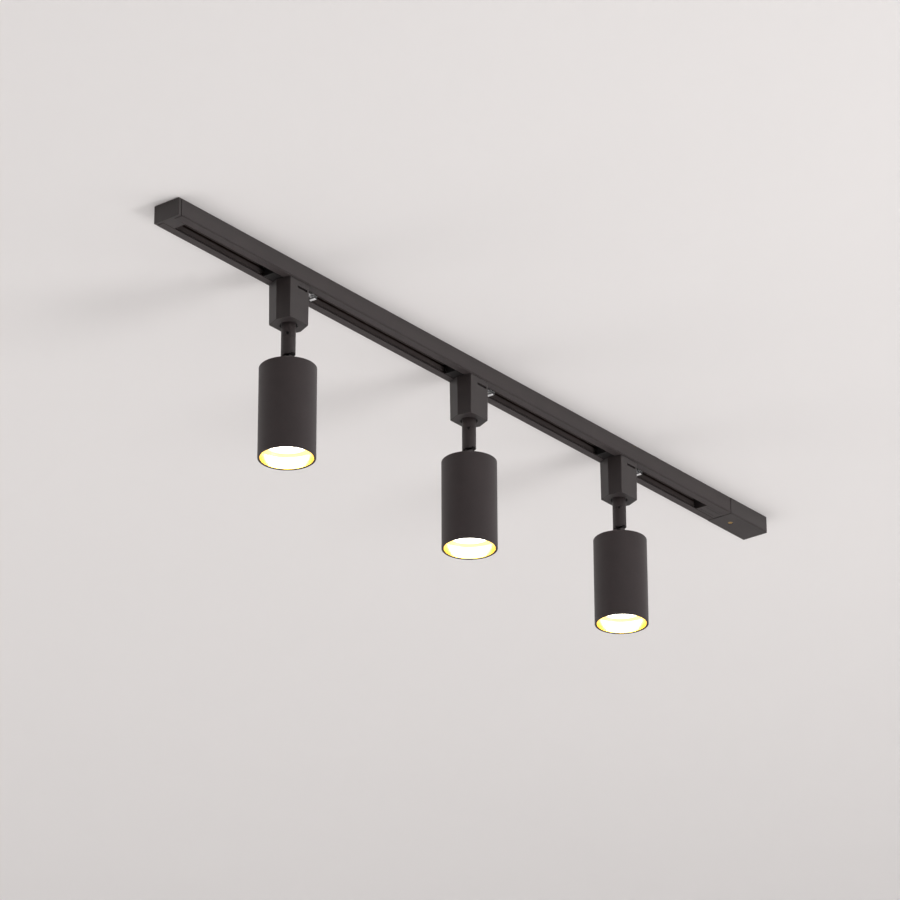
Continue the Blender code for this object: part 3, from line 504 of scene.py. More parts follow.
def edge_highlight_group():
    """Paler edges: the marked roundings take an edge colour, broken up by a noise, as a painted highlight
    where light catches them.
    """
    inputs = {"Colour": GREY, "Edge Colour": GREY, "Amount": 0.5, "Breakup Scale": 260.0}
    group, given = new_group("Rubbed edges", inputs)
    mark = node(group, "ShaderNodeAttribute", {"attribute_name": "edge"}).outputs["Fac"]
    patches = spread(
        group, noise(group, given["Vector"], given["Breakup Scale"], 3.0, 0.65), 0.30, 0.70, 0.25, 1.0
    )
    strength = reckoned(group, "MULTIPLY", reckoned(group, "MULTIPLY", mark, patches), given["Amount"])
    return give(group, {"Colour": blend(group, strength, given["Colour"], given["Edge Colour"])})


def dust_group():
    """Dust that settles on the faces turned up, thicker in patches."""
    group, given = new_group("Settled dust", {"Colour": GREY, "Dust Colour": GREY, "Amount": 0.2})
    normal = node(group, "ShaderNodeTexCoord").outputs["Normal"]
    facing = spread(group, parts_of(group, normal)["Z"], 0.55, 0.95)
    patches = spread(group, noise(group, given["Vector"], 90.0, 5.0, 0.7), 0.38, 0.72)
    strength = reckoned(group, "MULTIPLY", reckoned(group, "MULTIPLY", facing, patches), given["Amount"])
    return give(group, {"Colour": blend(group, strength, given["Colour"], given["Dust Colour"])})


def lines_group():
    """Fine parallel lines of drawing or brushing, stretched by three scales along X, Y and Z."""
    group, given = new_group("Drawn lines", {"Stretch": (20.0, 3000.0, 3000.0)})
    scaled = node(
        group, "ShaderNodeVectorMath", {"operation": "MULTIPLY"}, {0: given["Vector"], 1: given["Stretch"]}
    )
    height = noise(group, scaled.outputs[0], 1.0, 4.0, 0.6)
    return give(group, {"Height": height, "Value": spread(group, height, 0.35, 0.65)})


def tube_group():
    """Lines of a turned or drawn tube: streaks along it and rings round it, about the local Z axis."""
    group, given = new_group("Tube lines", {"Streak Scale": 26.0, "Ring Scale": 1800.0})
    flat = across(group, given["Vector"])
    unit = node(group, "ShaderNodeVectorMath", {"operation": "NORMALIZE"}, {0: flat}).outputs[0]
    section = {"X": reach_of(group, flat), "Z": parts_of(group, given["Vector"])["Z"]}
    height = node(group, "ShaderNodeCombineXYZ", None, section).outputs[0]
    streaks = noise(group, unit, given["Streak Scale"], 3.0, 0.6)
    return give(group, {"Streaks": streaks, "Rings": noise(group, height, given["Ring Scale"], 3.0, 0.6)})


GROUPS = {}


def shared_group(maker):
    """The shader group of a maker, built the first time it is asked for."""
    if maker not in GROUPS:
        GROUPS[maker] = maker()
    return GROUPS[maker]


# ---- Finishes -------------------------------------------------------------------------------


def rgba(values):
    return (*values, 1.0)


def shifted(values, factor):
    """A lighter or darker tone of a colour."""
    return rgba([min(1.0, value * factor) for value in values])


class Finish:
    """A material under construction: its tree, its shader and the object's own coordinates."""

    def __init__(self, name, metallic=0.0, roughness=0.5, gloss=0.5, sheen=0.0):
        self.material = bpy.data.materials.new(name)
        self.material.use_nodes = True
        self.tree = self.material.node_tree
        self.shader = self.tree.nodes["Principled BSDF"]
        even = {"Metallic": metallic, "Roughness": roughness, "Specular IOR Level": gloss}
        even["Sheen Weight"] = sheen
        for key, value in even.items():
            self.shader.inputs[key].default_value = value
        self.place = node(self.tree, "ShaderNodeTexCoord").outputs["Object"]

    def group(self, maker, inputs):
        """The outputs of a shared group, fed with the object's coordinates."""
        inputs = {"Vector": self.place, **inputs}
        return node(self.tree, "ShaderNodeGroup", {"node_tree": shared_group(maker)}, inputs).outputs

    def drift(self, values, other, scale):
        inputs = {"Colour": rgba(values), "Other Colour": other, "Scale": scale}
        return self.group(drift_group, inputs)["Colour"]

    # Painted highlight: the marked rounded edges take a paler colour.
    def edges(self, source, edge_colour, amount, scale=260.0):
        inputs = {"Colour": source, "Edge Colour": edge_colour, "Amount": amount, "Breakup Scale": scale}
        return self.group(edge_highlight_group, inputs)["Colour"]

    def dust(self, source, amount):
        return self.group(dust_group, {"Colour": source, "Dust Colour": DUST, "Amount": amount})["Colour"]

    def grain(self, peel, grain, share):
        inputs = {"Peel Scale": peel, "Grain Scale": grain, "Grain Share": share}
        return self.group(grain_group, inputs)["Height"]

    def surface(self, colour, rough_source, smooth, rough):
        """Base colour, and roughness from smooth to rough as its source goes from 0 to 1."""
        feed(self.tree, colour, self.shader.inputs["Base Color"])
        roughness = spread(self.tree, rough_source, 0.0, 1.0, smooth, rough)
        feed(self.tree, roughness, self.shader.inputs["Roughness"])

    def glow(self, colour, strength):
        feed(self.tree, colour, self.shader.inputs["Emission Color"])
        self.shader.inputs["Emission Strength"].default_value = strength

    def bump(self, source, depth, strength):
        """Surface relief of the given depth in metres, on top of any relief there already."""
        made = node(
            self.tree, "ShaderNodeBump", None, {"Height": source, "Strength": strength, "Distance": depth}
        )
        normal = self.shader.inputs["Normal"]
        if normal.links:
            self.tree.links.new(normal.links[0].from_socket, made.inputs["Normal"])
        self.tree.links.new(made.outputs[0], normal)


# Pale haze of the matte blacks where they turn away, and the dust on their tops.
COAT_SHEEN = 0.088
DUST = (0.34, 0.32, 0.30, 1.0)


def matte_black(finish, values, darker, drift_scale, edges, dust, grain, rough, relief):
    """A fine matte black: even grain, slow tone drift, paler edges painted as a highlight on the roundings,
    and a little dust.
    """
    lighter, edge_highlight_amount, edge_scale = edges
    colour = finish.drift(values, shifted(values, darker), drift_scale)
    # Painted highlight: the rounded edges are lightened.
    colour = finish.edges(colour, shifted(values, lighter), edge_highlight_amount, edge_scale)
    height = finish.grain(*grain)
    finish.surface(finish.dust(colour, dust), height, *rough)
    finish.bump(height, *relief)
    return finish.material


def powder_coat(name, values, smooth, rough, edge_highlight_amount):
    """A powder coat, with the orange peel of its spraying."""
    finish = Finish(name, gloss=0.45, sheen=COAT_SHEEN)
    # Tone, amount and breakup of the painted highlight on the rounded edges.
    edges = (2.1, edge_highlight_amount, 260.0)
    grain = (780.0, 4300.0, 0.45)
    return matte_black(finish, values, 0.82, 34.0, edges, 0.16, grain, (smooth, rough), (0.00006, 0.55))


def rail_black(colours):
    return powder_coat("rail black powder coat", colours.rail_black, 0.42, 0.66, 0.35)


def head_black(colours):
    return powder_coat("head black powder coat", colours.head_black, 0.48, 0.74, 0.30)


def moulded_plastic(name, values, sheen, gloss):
    """Spark-eroded black plastic: a fine even texture, slightly glossier than the coats."""
    finish = Finish(name, gloss=gloss, sheen=sheen)
    # Tone, amount and breakup of the painted highlight on the rounded edges.
    edges = (1.9, 0.4, 340.0)
    grain = (1500.0, 6200.0, 0.7)
    return matte_black(finish, values, 0.86, 60.0, edges, 0.12, grain, (0.34, 0.62), (0.00004, 0.5))


def moulded_black(colours):
    return moulded_plastic("moulded black plastic", colours.moulded_black, COAT_SHEEN, 0.5)


# The carrier's darker black is partly painted shade of the slot round it.
def carrier_shaded_black(colours):
    return moulded_plastic("carrier black plastic", colours.carrier_shaded_black, 0.0, 0.2)


def insulator_grey(colours):
    """Extruded strip: satin, with faint lines along the rail."""
    values = colours.insulator_grey
    finish = Finish("extruded insulating plastic")
    lines = finish.group(lines_group, {"Stretch": (14.0, 2600.0, 2600.0)})
    finish.surface(finish.drift(values, shifted(values, 1.25), 25.0), lines["Value"], 0.36, 0.56)
    finish.bump(lines["Height"], 0.00005, 0.5)
    return finish.material


def drawn_metal(name, values, tarnish, stretch, smooth, rough):
    """Bare drawn or stamped metal: lines along one way, tarnish in patches, and brighter edges painted as a
    highlight on the roundings.
    """
    finish = Finish(name, metallic=1.0)
    colour = finish.drift(values, rgba(tarnish), 120.0)
    lines = finish.group(lines_group, {"Stretch": stretch})
    # Painted highlight: the rounded edges take a brighter tone.
    finish.surface(finish.edges(colour, shifted(values, 1.25), 0.5), lines["Value"], smooth, rough)
    finish.bump(lines["Height"], 0.00002, 0.5)
    return finish.material


# The dark copper and its darker tarnish tone hold painted shade of the slot as well as tarnish.
def copper(colours):
    return drawn_metal(
        "drawn copper", colours.copper, (0.09, 0.055, 0.045), (16.0, 2400.0, 2400.0), 0.28, 0.48
    )


def brass(colours):
    return drawn_metal(
        "stamped brass", colours.brass, (0.42, 0.27, 0.10), (900.0, 2600.0, 2600.0), 0.24, 0.42
    )


def dark_steel(colours):
    tarnish = (0.030, 0.028, 0.028)
    return drawn_metal("blackened steel", colours.dark_steel, tarnish, (2200.0, 2200.0, 500.0), 0.30, 0.50)


def bright_steel(colours):
    tarnish = (0.50, 0.50, 0.51)
    return drawn_metal(
        "bright spring steel", colours.bright_steel, tarnish, (40.0, 3200.0, 3200.0), 0.16, 0.34
    )


# Painted lamplight on the gilt wall, a glow in place of the lamp's light on it: how quickly it fades towards
# the mouth, and its tone beside the lamp.
PAINTED_LAMPLIGHT_FALL = 2.0
PAINTED_LAMPLIGHT_TONE = (1.0, 0.84, 0.42, 1.0)


def gilt(colours):
    """The bright inner wall of a head: soft streaks along it, fine rings round it, and a painted glow of
    lamplight that fades towards the mouth.
    """
    values = colours.gilt
    finish = Finish("polished gilt", metallic=1.0)
    tube = finish.group(tube_group, {"Streak Scale": 15.0, "Ring Scale": 2600.0})
    finish.surface(finish.drift(values, shifted(values, 0.93), 70.0), tube["Streaks"], 0.10, 0.34)
    finish.bump(tube["Streaks"], 0.00030, 0.45)
    finish.bump(tube["Rings"], 0.00001, 0.35)
    tree = finish.tree
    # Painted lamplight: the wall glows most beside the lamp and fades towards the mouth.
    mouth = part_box("gilt_sleeve_1")[0].z
    nearness = spread(tree, parts_of(tree, finish.place)["Z"], mouth, mouth + LEDGE_DEPTH)
    haze = blend(tree, reckoned(tree, "POWER", nearness, PAINTED_LAMPLIGHT_FALL), BLACK, PAINTED_LAMPLIGHT_TONE)
    finish.glow(haze, bpy.context.scene.track_light_stage.painted_lamplight_strength)
    return finish.material


def white_ware(name, values, smooth, rough):
    """Glazed or moulded white: a soft sheen with a faint unevenness."""
    finish = Finish(name)
    height = finish.grain(420.0, 2600.0, 0.3)
    finish.surface(finish.drift(values, shifted(values, 0.93), 80.0), height, smooth, rough)
    finish.bump(height, 0.00005, 0.3)
    return finish.material


def ceramic(colours):
    return white_ware("glazed ceramic", colours.ceramic, 0.16, 0.34)


def lamp_white(colours):
    return white_ware("lamp shell white", colours.lamp_white, 0.26, 0.44)


# Radii between which the lit front warms, and the tone of its middle.
WARM_START = 0.008
WARM_END = 0.0235
GLOW_MIDDLE = (1.0, 0.95, 0.84, 1.0)


def lamp_glow(colours):
    """The lit lamp front: nearly white in the middle, warmer towards its rim, finely prismatic."""
    values = colours.lamp_glow
    finish = Finish("lit lamp front", roughness=0.35)
    tree = finish.tree
    outward = spread(tree, reach_of(tree, across(tree, finish.place)), WARM_START, WARM_END)
    light = blend(tree, outward, GLOW_MIDDLE, finish.drift(values, shifted(values, 1.1), 300.0))
    feed(tree, light, finish.shader.inputs["Base Color"])
    finish.glow(light, bpy.context.scene.track_light_stage.glow_strength)
    cells = node(tree, "ShaderNodeTexVoronoi", None, {"Vector": finish.place, "Scale": 520.0})
    finish.bump(cells.outputs["Distance"], 0.0002, 0.4)
    return finish.material


def plain_wall(name, values, lets_light_through):
    """A pale plastered face. From its back it is see-through, so that it never hides the object."""
    finish = Finish(name, roughness=0.9, gloss=0.2)
    tree = finish.tree
    feed(tree, finish.drift(values, shifted(values, 0.985), 0.8), finish.shader.inputs["Base Color"])
    finish.bump(finish.grain(60.0, 420.0, 0.4), 0.0004, 0.25)
    back = node(tree, "ShaderNodeNewGeometry").outputs["Backfacing"]
    shadow = node(tree, "ShaderNodeLightPath").outputs["Is Shadow Ray"]
    clear = node(tree, "ShaderNodeBsdfTransparent").outputs[0]
    share = reckoned(tree, "MAXIMUM", back, shadow if lets_light_through else back)
    mixed = node(tree, "ShaderNodeMixShader", None, {0: share, 1: finish.shader.outputs[0], 2: clear})
    tree.links.new(mixed.outputs[0], tree.nodes["Material Output"].inputs["Surface"])
    return finish


def ceiling_plaster(colours):
    return plain_wall("ceiling plaster", colours.ceiling, True).material


def floor_plain(colours):
    """The floor panel: plain, and lifted to a pale tone where it is seen."""
    finish = plain_wall("pale floor", colours.floor, False)
    seen = node(finish.tree, "ShaderNodeLightPath").outputs["Is Camera Ray"]
    lift = blend(finish.tree, seen, BLACK, rgba(colours.floor))
    finish.glow(lift, bpy.context.scene.track_light_stage.floor_lift)
    return finish.material


# The maker of each finish, by its name.
BLACKS = (rail_black, head_black, moulded_black, carrier_shaded_black)
METALS = (copper, brass, dark_steel, bright_steel, gilt)
PALE = (insulator_grey, ceramic, lamp_white, lamp_glow, ceiling_plaster, floor_plain)
FINISHES = {maker.__name__: maker for maker in BLACKS + METALS + PALE}
MADE = {}


def material_for(finish):
    """The material of a finish, made the first time it is asked for."""
    if finish not in MADE:
        MADE[finish] = FINISHES[finish](bpy.context.scene.track_light_colours)
    return MADE[finish]


# ---- Pieces of the rail ----------------------------------------------------------------------


def rod(start, end, diameter, sides, edge=CRISP):
    """A round rod from start to end with its two rims rounded."""
    start = Vector(start)
    end = Vector(end)
    reach = (end - start).length
    profile = [(0, 0), (diameter / 2, 0), (diameter / 2, reach), (0, reach)]
    turn = (end - start).to_track_quat("Z", "Y").to_matrix().to_4x4()
    return placed(turned(profile, edge, sides), Matrix.Translation(start) @ turn)


def side_line(sizes, outer, top, bottom):
    """Right half of the section down a side wall, with the fine line above its lower edge."""
    low = bottom + sizes.groove_rise
    high = low + sizes.groove_height
    inner = outer - sizes.groove_depth
    corners = [(outer, top), (outer, high), (inner, high), (inner, low), (outer, low), (outer, bottom)]
    radii = [sizes.rail_edge, GAP / 3, GAP / 3, GAP / 3, GAP / 3, sizes.rail_edge]
    return corners, radii


class TRACKLIGHT_OT_rail(bpy.types.Operator):
    """Build the aluminium rail with its slot, side lines and fixing holes"""

    bl_idname = "tracklight.rail"
    bl_label = "Rail"

    def execute(self, context):
        sizes = context.scene.track_light_sizes
        top = RAIL_HIGH.z
        bottom = RAIL_LOW.z
        corners, radii = side_line(sizes, RAIL_HIGH.y, top, bottom)
        lip_top = bottom + sizes.rail_lip
        cavity = RAIL_HIGH.y - sizes.rail_wall
        slot = sizes.slot_width / 2
        corners += [(slot, bottom), (slot, lip_top), (cavity, lip_top), (cavity, top - sizes.rail_roof)]
        radii += [sizes.rail_edge, sizes.rail_edge, GAP, GAP]
        shape = prism(both_sides(corners), radii + radii[::-1], RAIL_LOW.x, RAIL_HIGH.x, GAP / 2)
        rail = draft_object("rail", placed(shape, ALONG_X))
        for side in (-1, 1):
            centre = side * (RAIL_HIGH.x - FIXING_INSET)
            roof = sizes.rail_roof
            cut(rail, rod((centre, 0, -2 * roof), (centre, 0, roof), FIXING_HOLE, SCREW_SIDES))
        finished(rail, "rail_black", "rail", ["track_rail"])
        return {"FINISHED"}


# Fixing holes in the rail's roof.
FIXING_INSET = 0.120
FIXING_HOLE = 0.0045

# Insulating strips: the groove that holds each conductor, and the bead along its lower edge.
GROOVE_SPARE = 0.0003
BEAD_HEIGHT = 0.0012
BEAD_REACH = 0.0005


class TRACKLIGHT_OT_strips(bpy.types.Operator):
    """Build the insulating strips, and finish the conductors and the earth strip in them"""

    bl_idname = "tracklight.strips"
    bl_label = "Insulators and conductors"

    def execute(self, context):
        pairs = (("insulator_front", "neutral_conductor", -1), ("insulator_rear", "live_conductor", 1))
        for insulator, conductor, side in pairs:
            low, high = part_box(insulator)
            wire_low, wire_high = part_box(conductor)
            face = min(abs(low.y), abs(high.y))
            back = max(abs(low.y), abs(high.y))
            groove_back = max(abs(wire_low.y), abs(wire_high.y)) + GROOVE_SPARE
            groove_low = wire_low.z - GROOVE_SPARE
            groove_high = wire_high.z + GROOVE_SPARE
            corners = [
                (side * face, high.z), (side * back, high.z), (side * back, low.z),
                (side * (face - BEAD_REACH), low.z), (side * (face - BEAD_REACH), low.z + BEAD_HEIGHT),
                (side * face, low.z + BEAD_HEIGHT), (side * face, groove_low),
                (side * groove_back, groove_low), (side * groove_back, groove_high),
                (side * face, groove_high),
            ]
            shape = prism(corners, GAP / 2, low.x, high.x, GAP / 2)
            item = draft_object(insulator.replace("insulator", "insulating_strip"), placed(shape, ALONG_X))
            finished(item, "insulator_grey", "rail", [insulator])
            refinish(conductor, "copper")
        refinish("earth_strip", "copper")
        return {"FINISHED"}


class TRACKLIGHT_OT_end_cap(bpy.types.Operator):
    """Build the moulded cap on the dead end, with the tongue that fills the slot"""

    bl_idname = "tracklight.end_cap"
    bl_label = "End cap"

    def execute(self, context):
        sizes = context.scene.track_light_sizes
        low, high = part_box("end_cap")
        inner = RAIL_LOW.x - GAP
        edge = sizes.moulded_edge
        plate = [(high.y, 0), (high.y, low.z), (low.y, low.z), (low.y, 0)]
        shape = prism(plate, edge, low.x, inner - sizes.seam_width, (edge, GAP / 3))
        cap = draft_object("end_cap_piece", placed(shape, ALONG_X))
        join(cap, seam_block(sizes, low, high, inner - 2 * sizes.seam_width, inner))
        for plug in plug_shapes(sizes, (low.x + inner) / 2, high.x, strip_face() - GAP):
            join(cap, plug)
        finished(cap, "moulded_black", "rail", ["end_cap"])
        return {"FINISHED"}


def seam_block(sizes, low, high, start, end):
    """The set-back shoulder of the end cap or the feed that leaves a shadow line beside the rail."""
    sunk = sizes.seam_width
    return block((start, low.y + sunk, low.z + sunk), (end, high.y - sunk, high.z - GAP / 3), GAP / 3)


def strip_face():
    """Distance of the insulating strips' faces from the rail's middle."""
    low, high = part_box("insulator_rear")
    return min(abs(low.y), abs(high.y))


# What fills the rail's ends: its recess below the rail's underside, and the room over it.
PLUG_RECESS = 0.0002
PLUG_TOP = -0.0032


def plug_shapes(sizes, start, end, half):
    """The core between the insulating strips, and the tongue down through the slot."""
    shelf = RAIL_LOW.z + sizes.rail_lip + GAP
    tongue_half = sizes.slot_width / 2 - GAP
    core = block((start, -half, shelf), (end, half, PLUG_TOP), GAP)
    tongue_low = (start, -tongue_half, RAIL_LOW.z + PLUG_RECESS)
    tongue_high = (end - PLUG_RECESS, tongue_half, shelf + sizes.rail_lip)
    return core, block(tongue_low, tongue_high, GAP)


# Feed: its walls, the screw's sinking and the cross recess, the base plate and its cable hole.
FEED_WALL = 0.0018
FEED_FLOOR = 0.0020
SCREW_DROP = 0.0010
CABLE_HOLE = 0.012
KNOCKOUT_RING = 0.0165
KNOCKOUT_WIDTH = 0.0008
KNOCKOUT_DEPTH = 0.0004
BASE_THICKNESS = 0.0018
BOSS_WIDTH = 0.007
RIB_WIDTH = 0.0008
RIB_HEIGHT = 0.00035
CROSS_SLENDERNESS = 7
FEED_CROSS = 0.62


def cross_recess(centre, width, depth, turn):
    """A cross-shaped recess, as two crossing slots sunk in a screw head that faces down in its own frame."""
    arm = (width / 2, width / CROSS_SLENDERNESS)
    slots = []
    for across, along in (arm, arm[::-1]):
        low = (-across, -along, -depth)
        high = (across, along, depth)
        slots.append(placed(block(low, high, CRISP), Matrix.Translation(centre) @ turn))
    return slots


class TRACKLIGHT_OT_feed(bpy.types.Operator):
    """Build the live-end feed: cover, base plate, slot plug and the brass screw"""

    bl_idname = "tracklight.feed"
    bl_label = "Live-end feed"

    def execute(self, context):
        sizes = context.scene.track_light_sizes
        low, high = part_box("feed_cover")
        screw_low, screw_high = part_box("feed_screw")
        centre = Vector(((screw_low.x + screw_high.x) / 2, 0, low.z))
        head = screw_high.x - screw_low.x

        corners, radii = side_line(sizes, high.y, high.z, low.z)
        edge = sizes.moulded_edge
        shape = prism(
            both_sides(corners), radii + radii[::-1], low.x + sizes.seam_width, high.x, (GAP / 3, edge)
        )
        cover = draft_object("feed_cover_piece", placed(shape, ALONG_X))
        join(cover, seam_block(sizes, low, high, low.x, low.x + 2 * sizes.seam_width))
        hollow_low = (low.x + FEED_WALL, low.y + FEED_WALL, low.z + FEED_FLOOR)
        hollow_high = (high.x - FEED_WALL, high.y - FEED_WALL, FEED_WALL)
        cut(cover, block(hollow_low, hollow_high, GAP))
        sink = head / 2 + GAP
        hole = head / 3 + GAP
        profile = [
            (0, FEED_FLOOR * 2), (hole, FEED_FLOOR * 2), (hole, SCREW_DROP), (sink, SCREW_DROP),
            (sink, GAP), (sink + GAP, 0), (sink + GAP, -FEED_FLOOR), (0, -FEED_FLOOR),
        ]
        cut(cover, placed(turned(profile, CRISP, SCREW_SIDES), Matrix.Translation(centre)))
        finished(cover, "moulded_black", "rail", ["feed_cover"])

        screw_profile = [
            (0, screw_high.z - low.z), (hole - GAP, screw_high.z - low.z), (hole - GAP, SCREW_DROP - GAP),
            (head / 2, SCREW_DROP - GAP), (head / 2, GAP), (head / 3, GAP / 2), (0, GAP / 2),
        ]
        screw = draft_object("feed_screw_piece", turned(screw_profile, GAP / 3, SCREW_SIDES))
        for slot in cross_recess((0, 0, GAP / 2), head * FEED_CROSS, SCREW_DROP / 2, UPRIGHT):
            cut(screw, slot)
        finished(screw, "brass", "rail", ["feed_screw"], centre)

        self.base(centre)
        self.plug(sizes)
        refinish("feed_terminal_block", "insulator_grey")
        return {"FINISHED"}

    def base(self, centre):
        low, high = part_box("feed_base")
        shape = block((low.x, low.y, -BASE_THICKNESS), (high.x, high.y, 0), GAP)
        plate = draft_object("feed_base_piece", shape)
        join(plate, rod((centre.x, 0, low.z), (centre.x, 0, -BASE_THICKNESS / 2), BOSS_WIDTH, SCREW_SIDES))
        terminal_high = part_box("feed_terminal_block")[1]
        cable = (terminal_high.x + high.x) / 2
        cut(plate, rod((cable, 0, -2 * BASE_THICKNESS), (cable, 0, BASE_THICKNESS), CABLE_HOLE, STEM_SIDES))
        inner = KNOCKOUT_RING / 2
        outer = inner + KNOCKOUT_WIDTH
        section = [
            (inner, KNOCKOUT_DEPTH), (outer, KNOCKOUT_DEPTH), (outer, -KNOCKOUT_DEPTH),
            (inner, -KNOCKOUT_DEPTH),
        ]
        groove = placed(turned(section, CRISP, STEM_SIDES, hollow=True), Matrix.Translation((cable, 0, 0)))
        cut(plate, groove)
        finished(plate, "moulded_black", "rail", ["feed_base"])

    def plug(self, sizes):
        low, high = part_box("feed_plug")
        core, tongue = plug_shapes(sizes, low.x, high.x, strip_face() - GAP)
        plug = draft_object("feed_plug_piece", core)
        join(plug, tongue)
        under = RAIL_LOW.z + PLUG_RECESS
        half = sizes.slot_width / 2
        for lane in (-1, 1):
            y = lane * half / 2
            rib_low = (low.x + half / 2, y - RIB_WIDTH / 2, under - RIB_HEIGHT)
            rib_high = (high.x - half / 2, y + RIB_WIDTH / 2, under + RIB_HEIGHT)
            join(plug, block(rib_low, rib_high, GAP / 3))
        finished(plug, "moulded_black", "rail", ["feed_plug"])


# ---- Adapters, carriers and latches ----------------------------------------------------------

# Adapter block: corners of its plan, its draft, the slit in its long faces and the recess below.
BLOCK_HALF = 0.0168
BLOCK_LONG = 0.0172
BLOCK_SHORT = 0.0140
BLOCK_TIP = 0.0211
BLOCK_DRAFT = 0.975
SLIT_LENGTH = 0.016
SLIT_HEIGHT = 0.0028
SLIT_DEPTH = 0.004
SLIT_DROP = 0.0066
SLIT_SHIFT = 0.003
STEM_DIAMETER = 0.016
STEM_BORE = 0.007
FLANGE_MARGIN = 0.003
FLANGE_HEIGHT = 0.0025
NECK_LENGTH = 0.0125
RING_WALL = 0.0012
RING_HEIGHT = 0.003
RING_RECESS = 0.0006
RING_SINK = 0.0008


class TRACKLIGHT_OT_blocks(bpy.types.Operator):
    """Build the six-sided adapter blocks and the swivel rings in their undersides"""

    bl_idname = "tracklight.blocks"
    bl_label = "Adapter blocks"

    def execute(self, context):
        sizes = context.scene.track_light_sizes
        for n in HEADS:
            self.block(sizes, n)
            self.ring(n)
        return {"FINISHED"}

    def block(self, sizes, n):
        low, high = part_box(f"adapter_block_{n}")
        half = [(-BLOCK_LONG, -BLOCK_HALF), (BLOCK_SHORT, -BLOCK_HALF), (BLOCK_TIP, 0.0)]
        plan = half + [(-x, -y) for x, y in half]
        shape = prism(plan, sizes.block_edge, low.z, high.z, (sizes.block_edge, GAP), BLOCK_DRAFT)
        item = draft_object(f"adapter_block_piece_{n}", shape)
        bore = STEM_DIAMETER / 2 + GAP
        seat = bore + RING_WALL + GAP
        ring_top = low.z + RING_RECESS + RING_HEIGHT + GAP
        floor = low.z + NECK_LENGTH
        roof = floor + FLANGE_HEIGHT + 2 * GAP
        chamber = [
            (0, roof), (bore + FLANGE_MARGIN, roof), (bore + FLANGE_MARGIN, floor), (bore, floor),
            (bore, ring_top), (seat, ring_top), (seat, low.z + GAP), (seat + 2 * GAP, low.z - GAP),
            (seat + 2 * GAP, low.z - NECK_LENGTH), (0, low.z - NECK_LENGTH),
        ]
        cut(item, turned(chamber, CRISP, STEM_SIDES))
        top = high.z - SLIT_DROP
        for side in (-1, 1):
            middle = -side * SLIT_SHIFT
            depths = sorted((side * (BLOCK_HALF - SLIT_DEPTH), side * (BLOCK_HALF + SLIT_DEPTH)))
            slit_low = (middle - SLIT_LENGTH / 2, depths[0], top - SLIT_HEIGHT)
            slit_high = (middle + SLIT_LENGTH / 2, depths[1], top)
            cut(item, block(slit_low, slit_high, GAP))
        finished(item, "moulded_black", f"adapter_{n}", [f"adapter_block_{n}"], HEAD_PLACE[n])

    def ring(self, n):
        low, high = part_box(f"swivel_ring_{n}")
        bore = STEM_DIAMETER / 2 + GAP
        under = low.z + RING_SINK
        section = [(bore + RING_WALL, high.z), (bore + RING_WALL, under), (bore, under), (bore, high.z)]
        item = draft_object(f"swivel_ring_piece_{n}", turned(section, GAP, STEM_SIDES, hollow=True))
        finished(item, "dark_steel", f"adapter_{n}", [f"swivel_ring_{n}"], HEAD_PLACE[n])


# Contact carrier: its wings, the notch for the latch, and its leaf contacts.
WING_LENGTH = 0.016
WING_HALF_SPAN = 0.0137
WING_THICKNESS = 0.0020
CARRIER_CLEARANCE = 0.0007
LATCH_SPARE = 0.0005
LATCH_ROOM = 0.0040
LEAF_SHEET = 0.0004
LEAF_STEPS = 20
TRUNNION = 0.0020


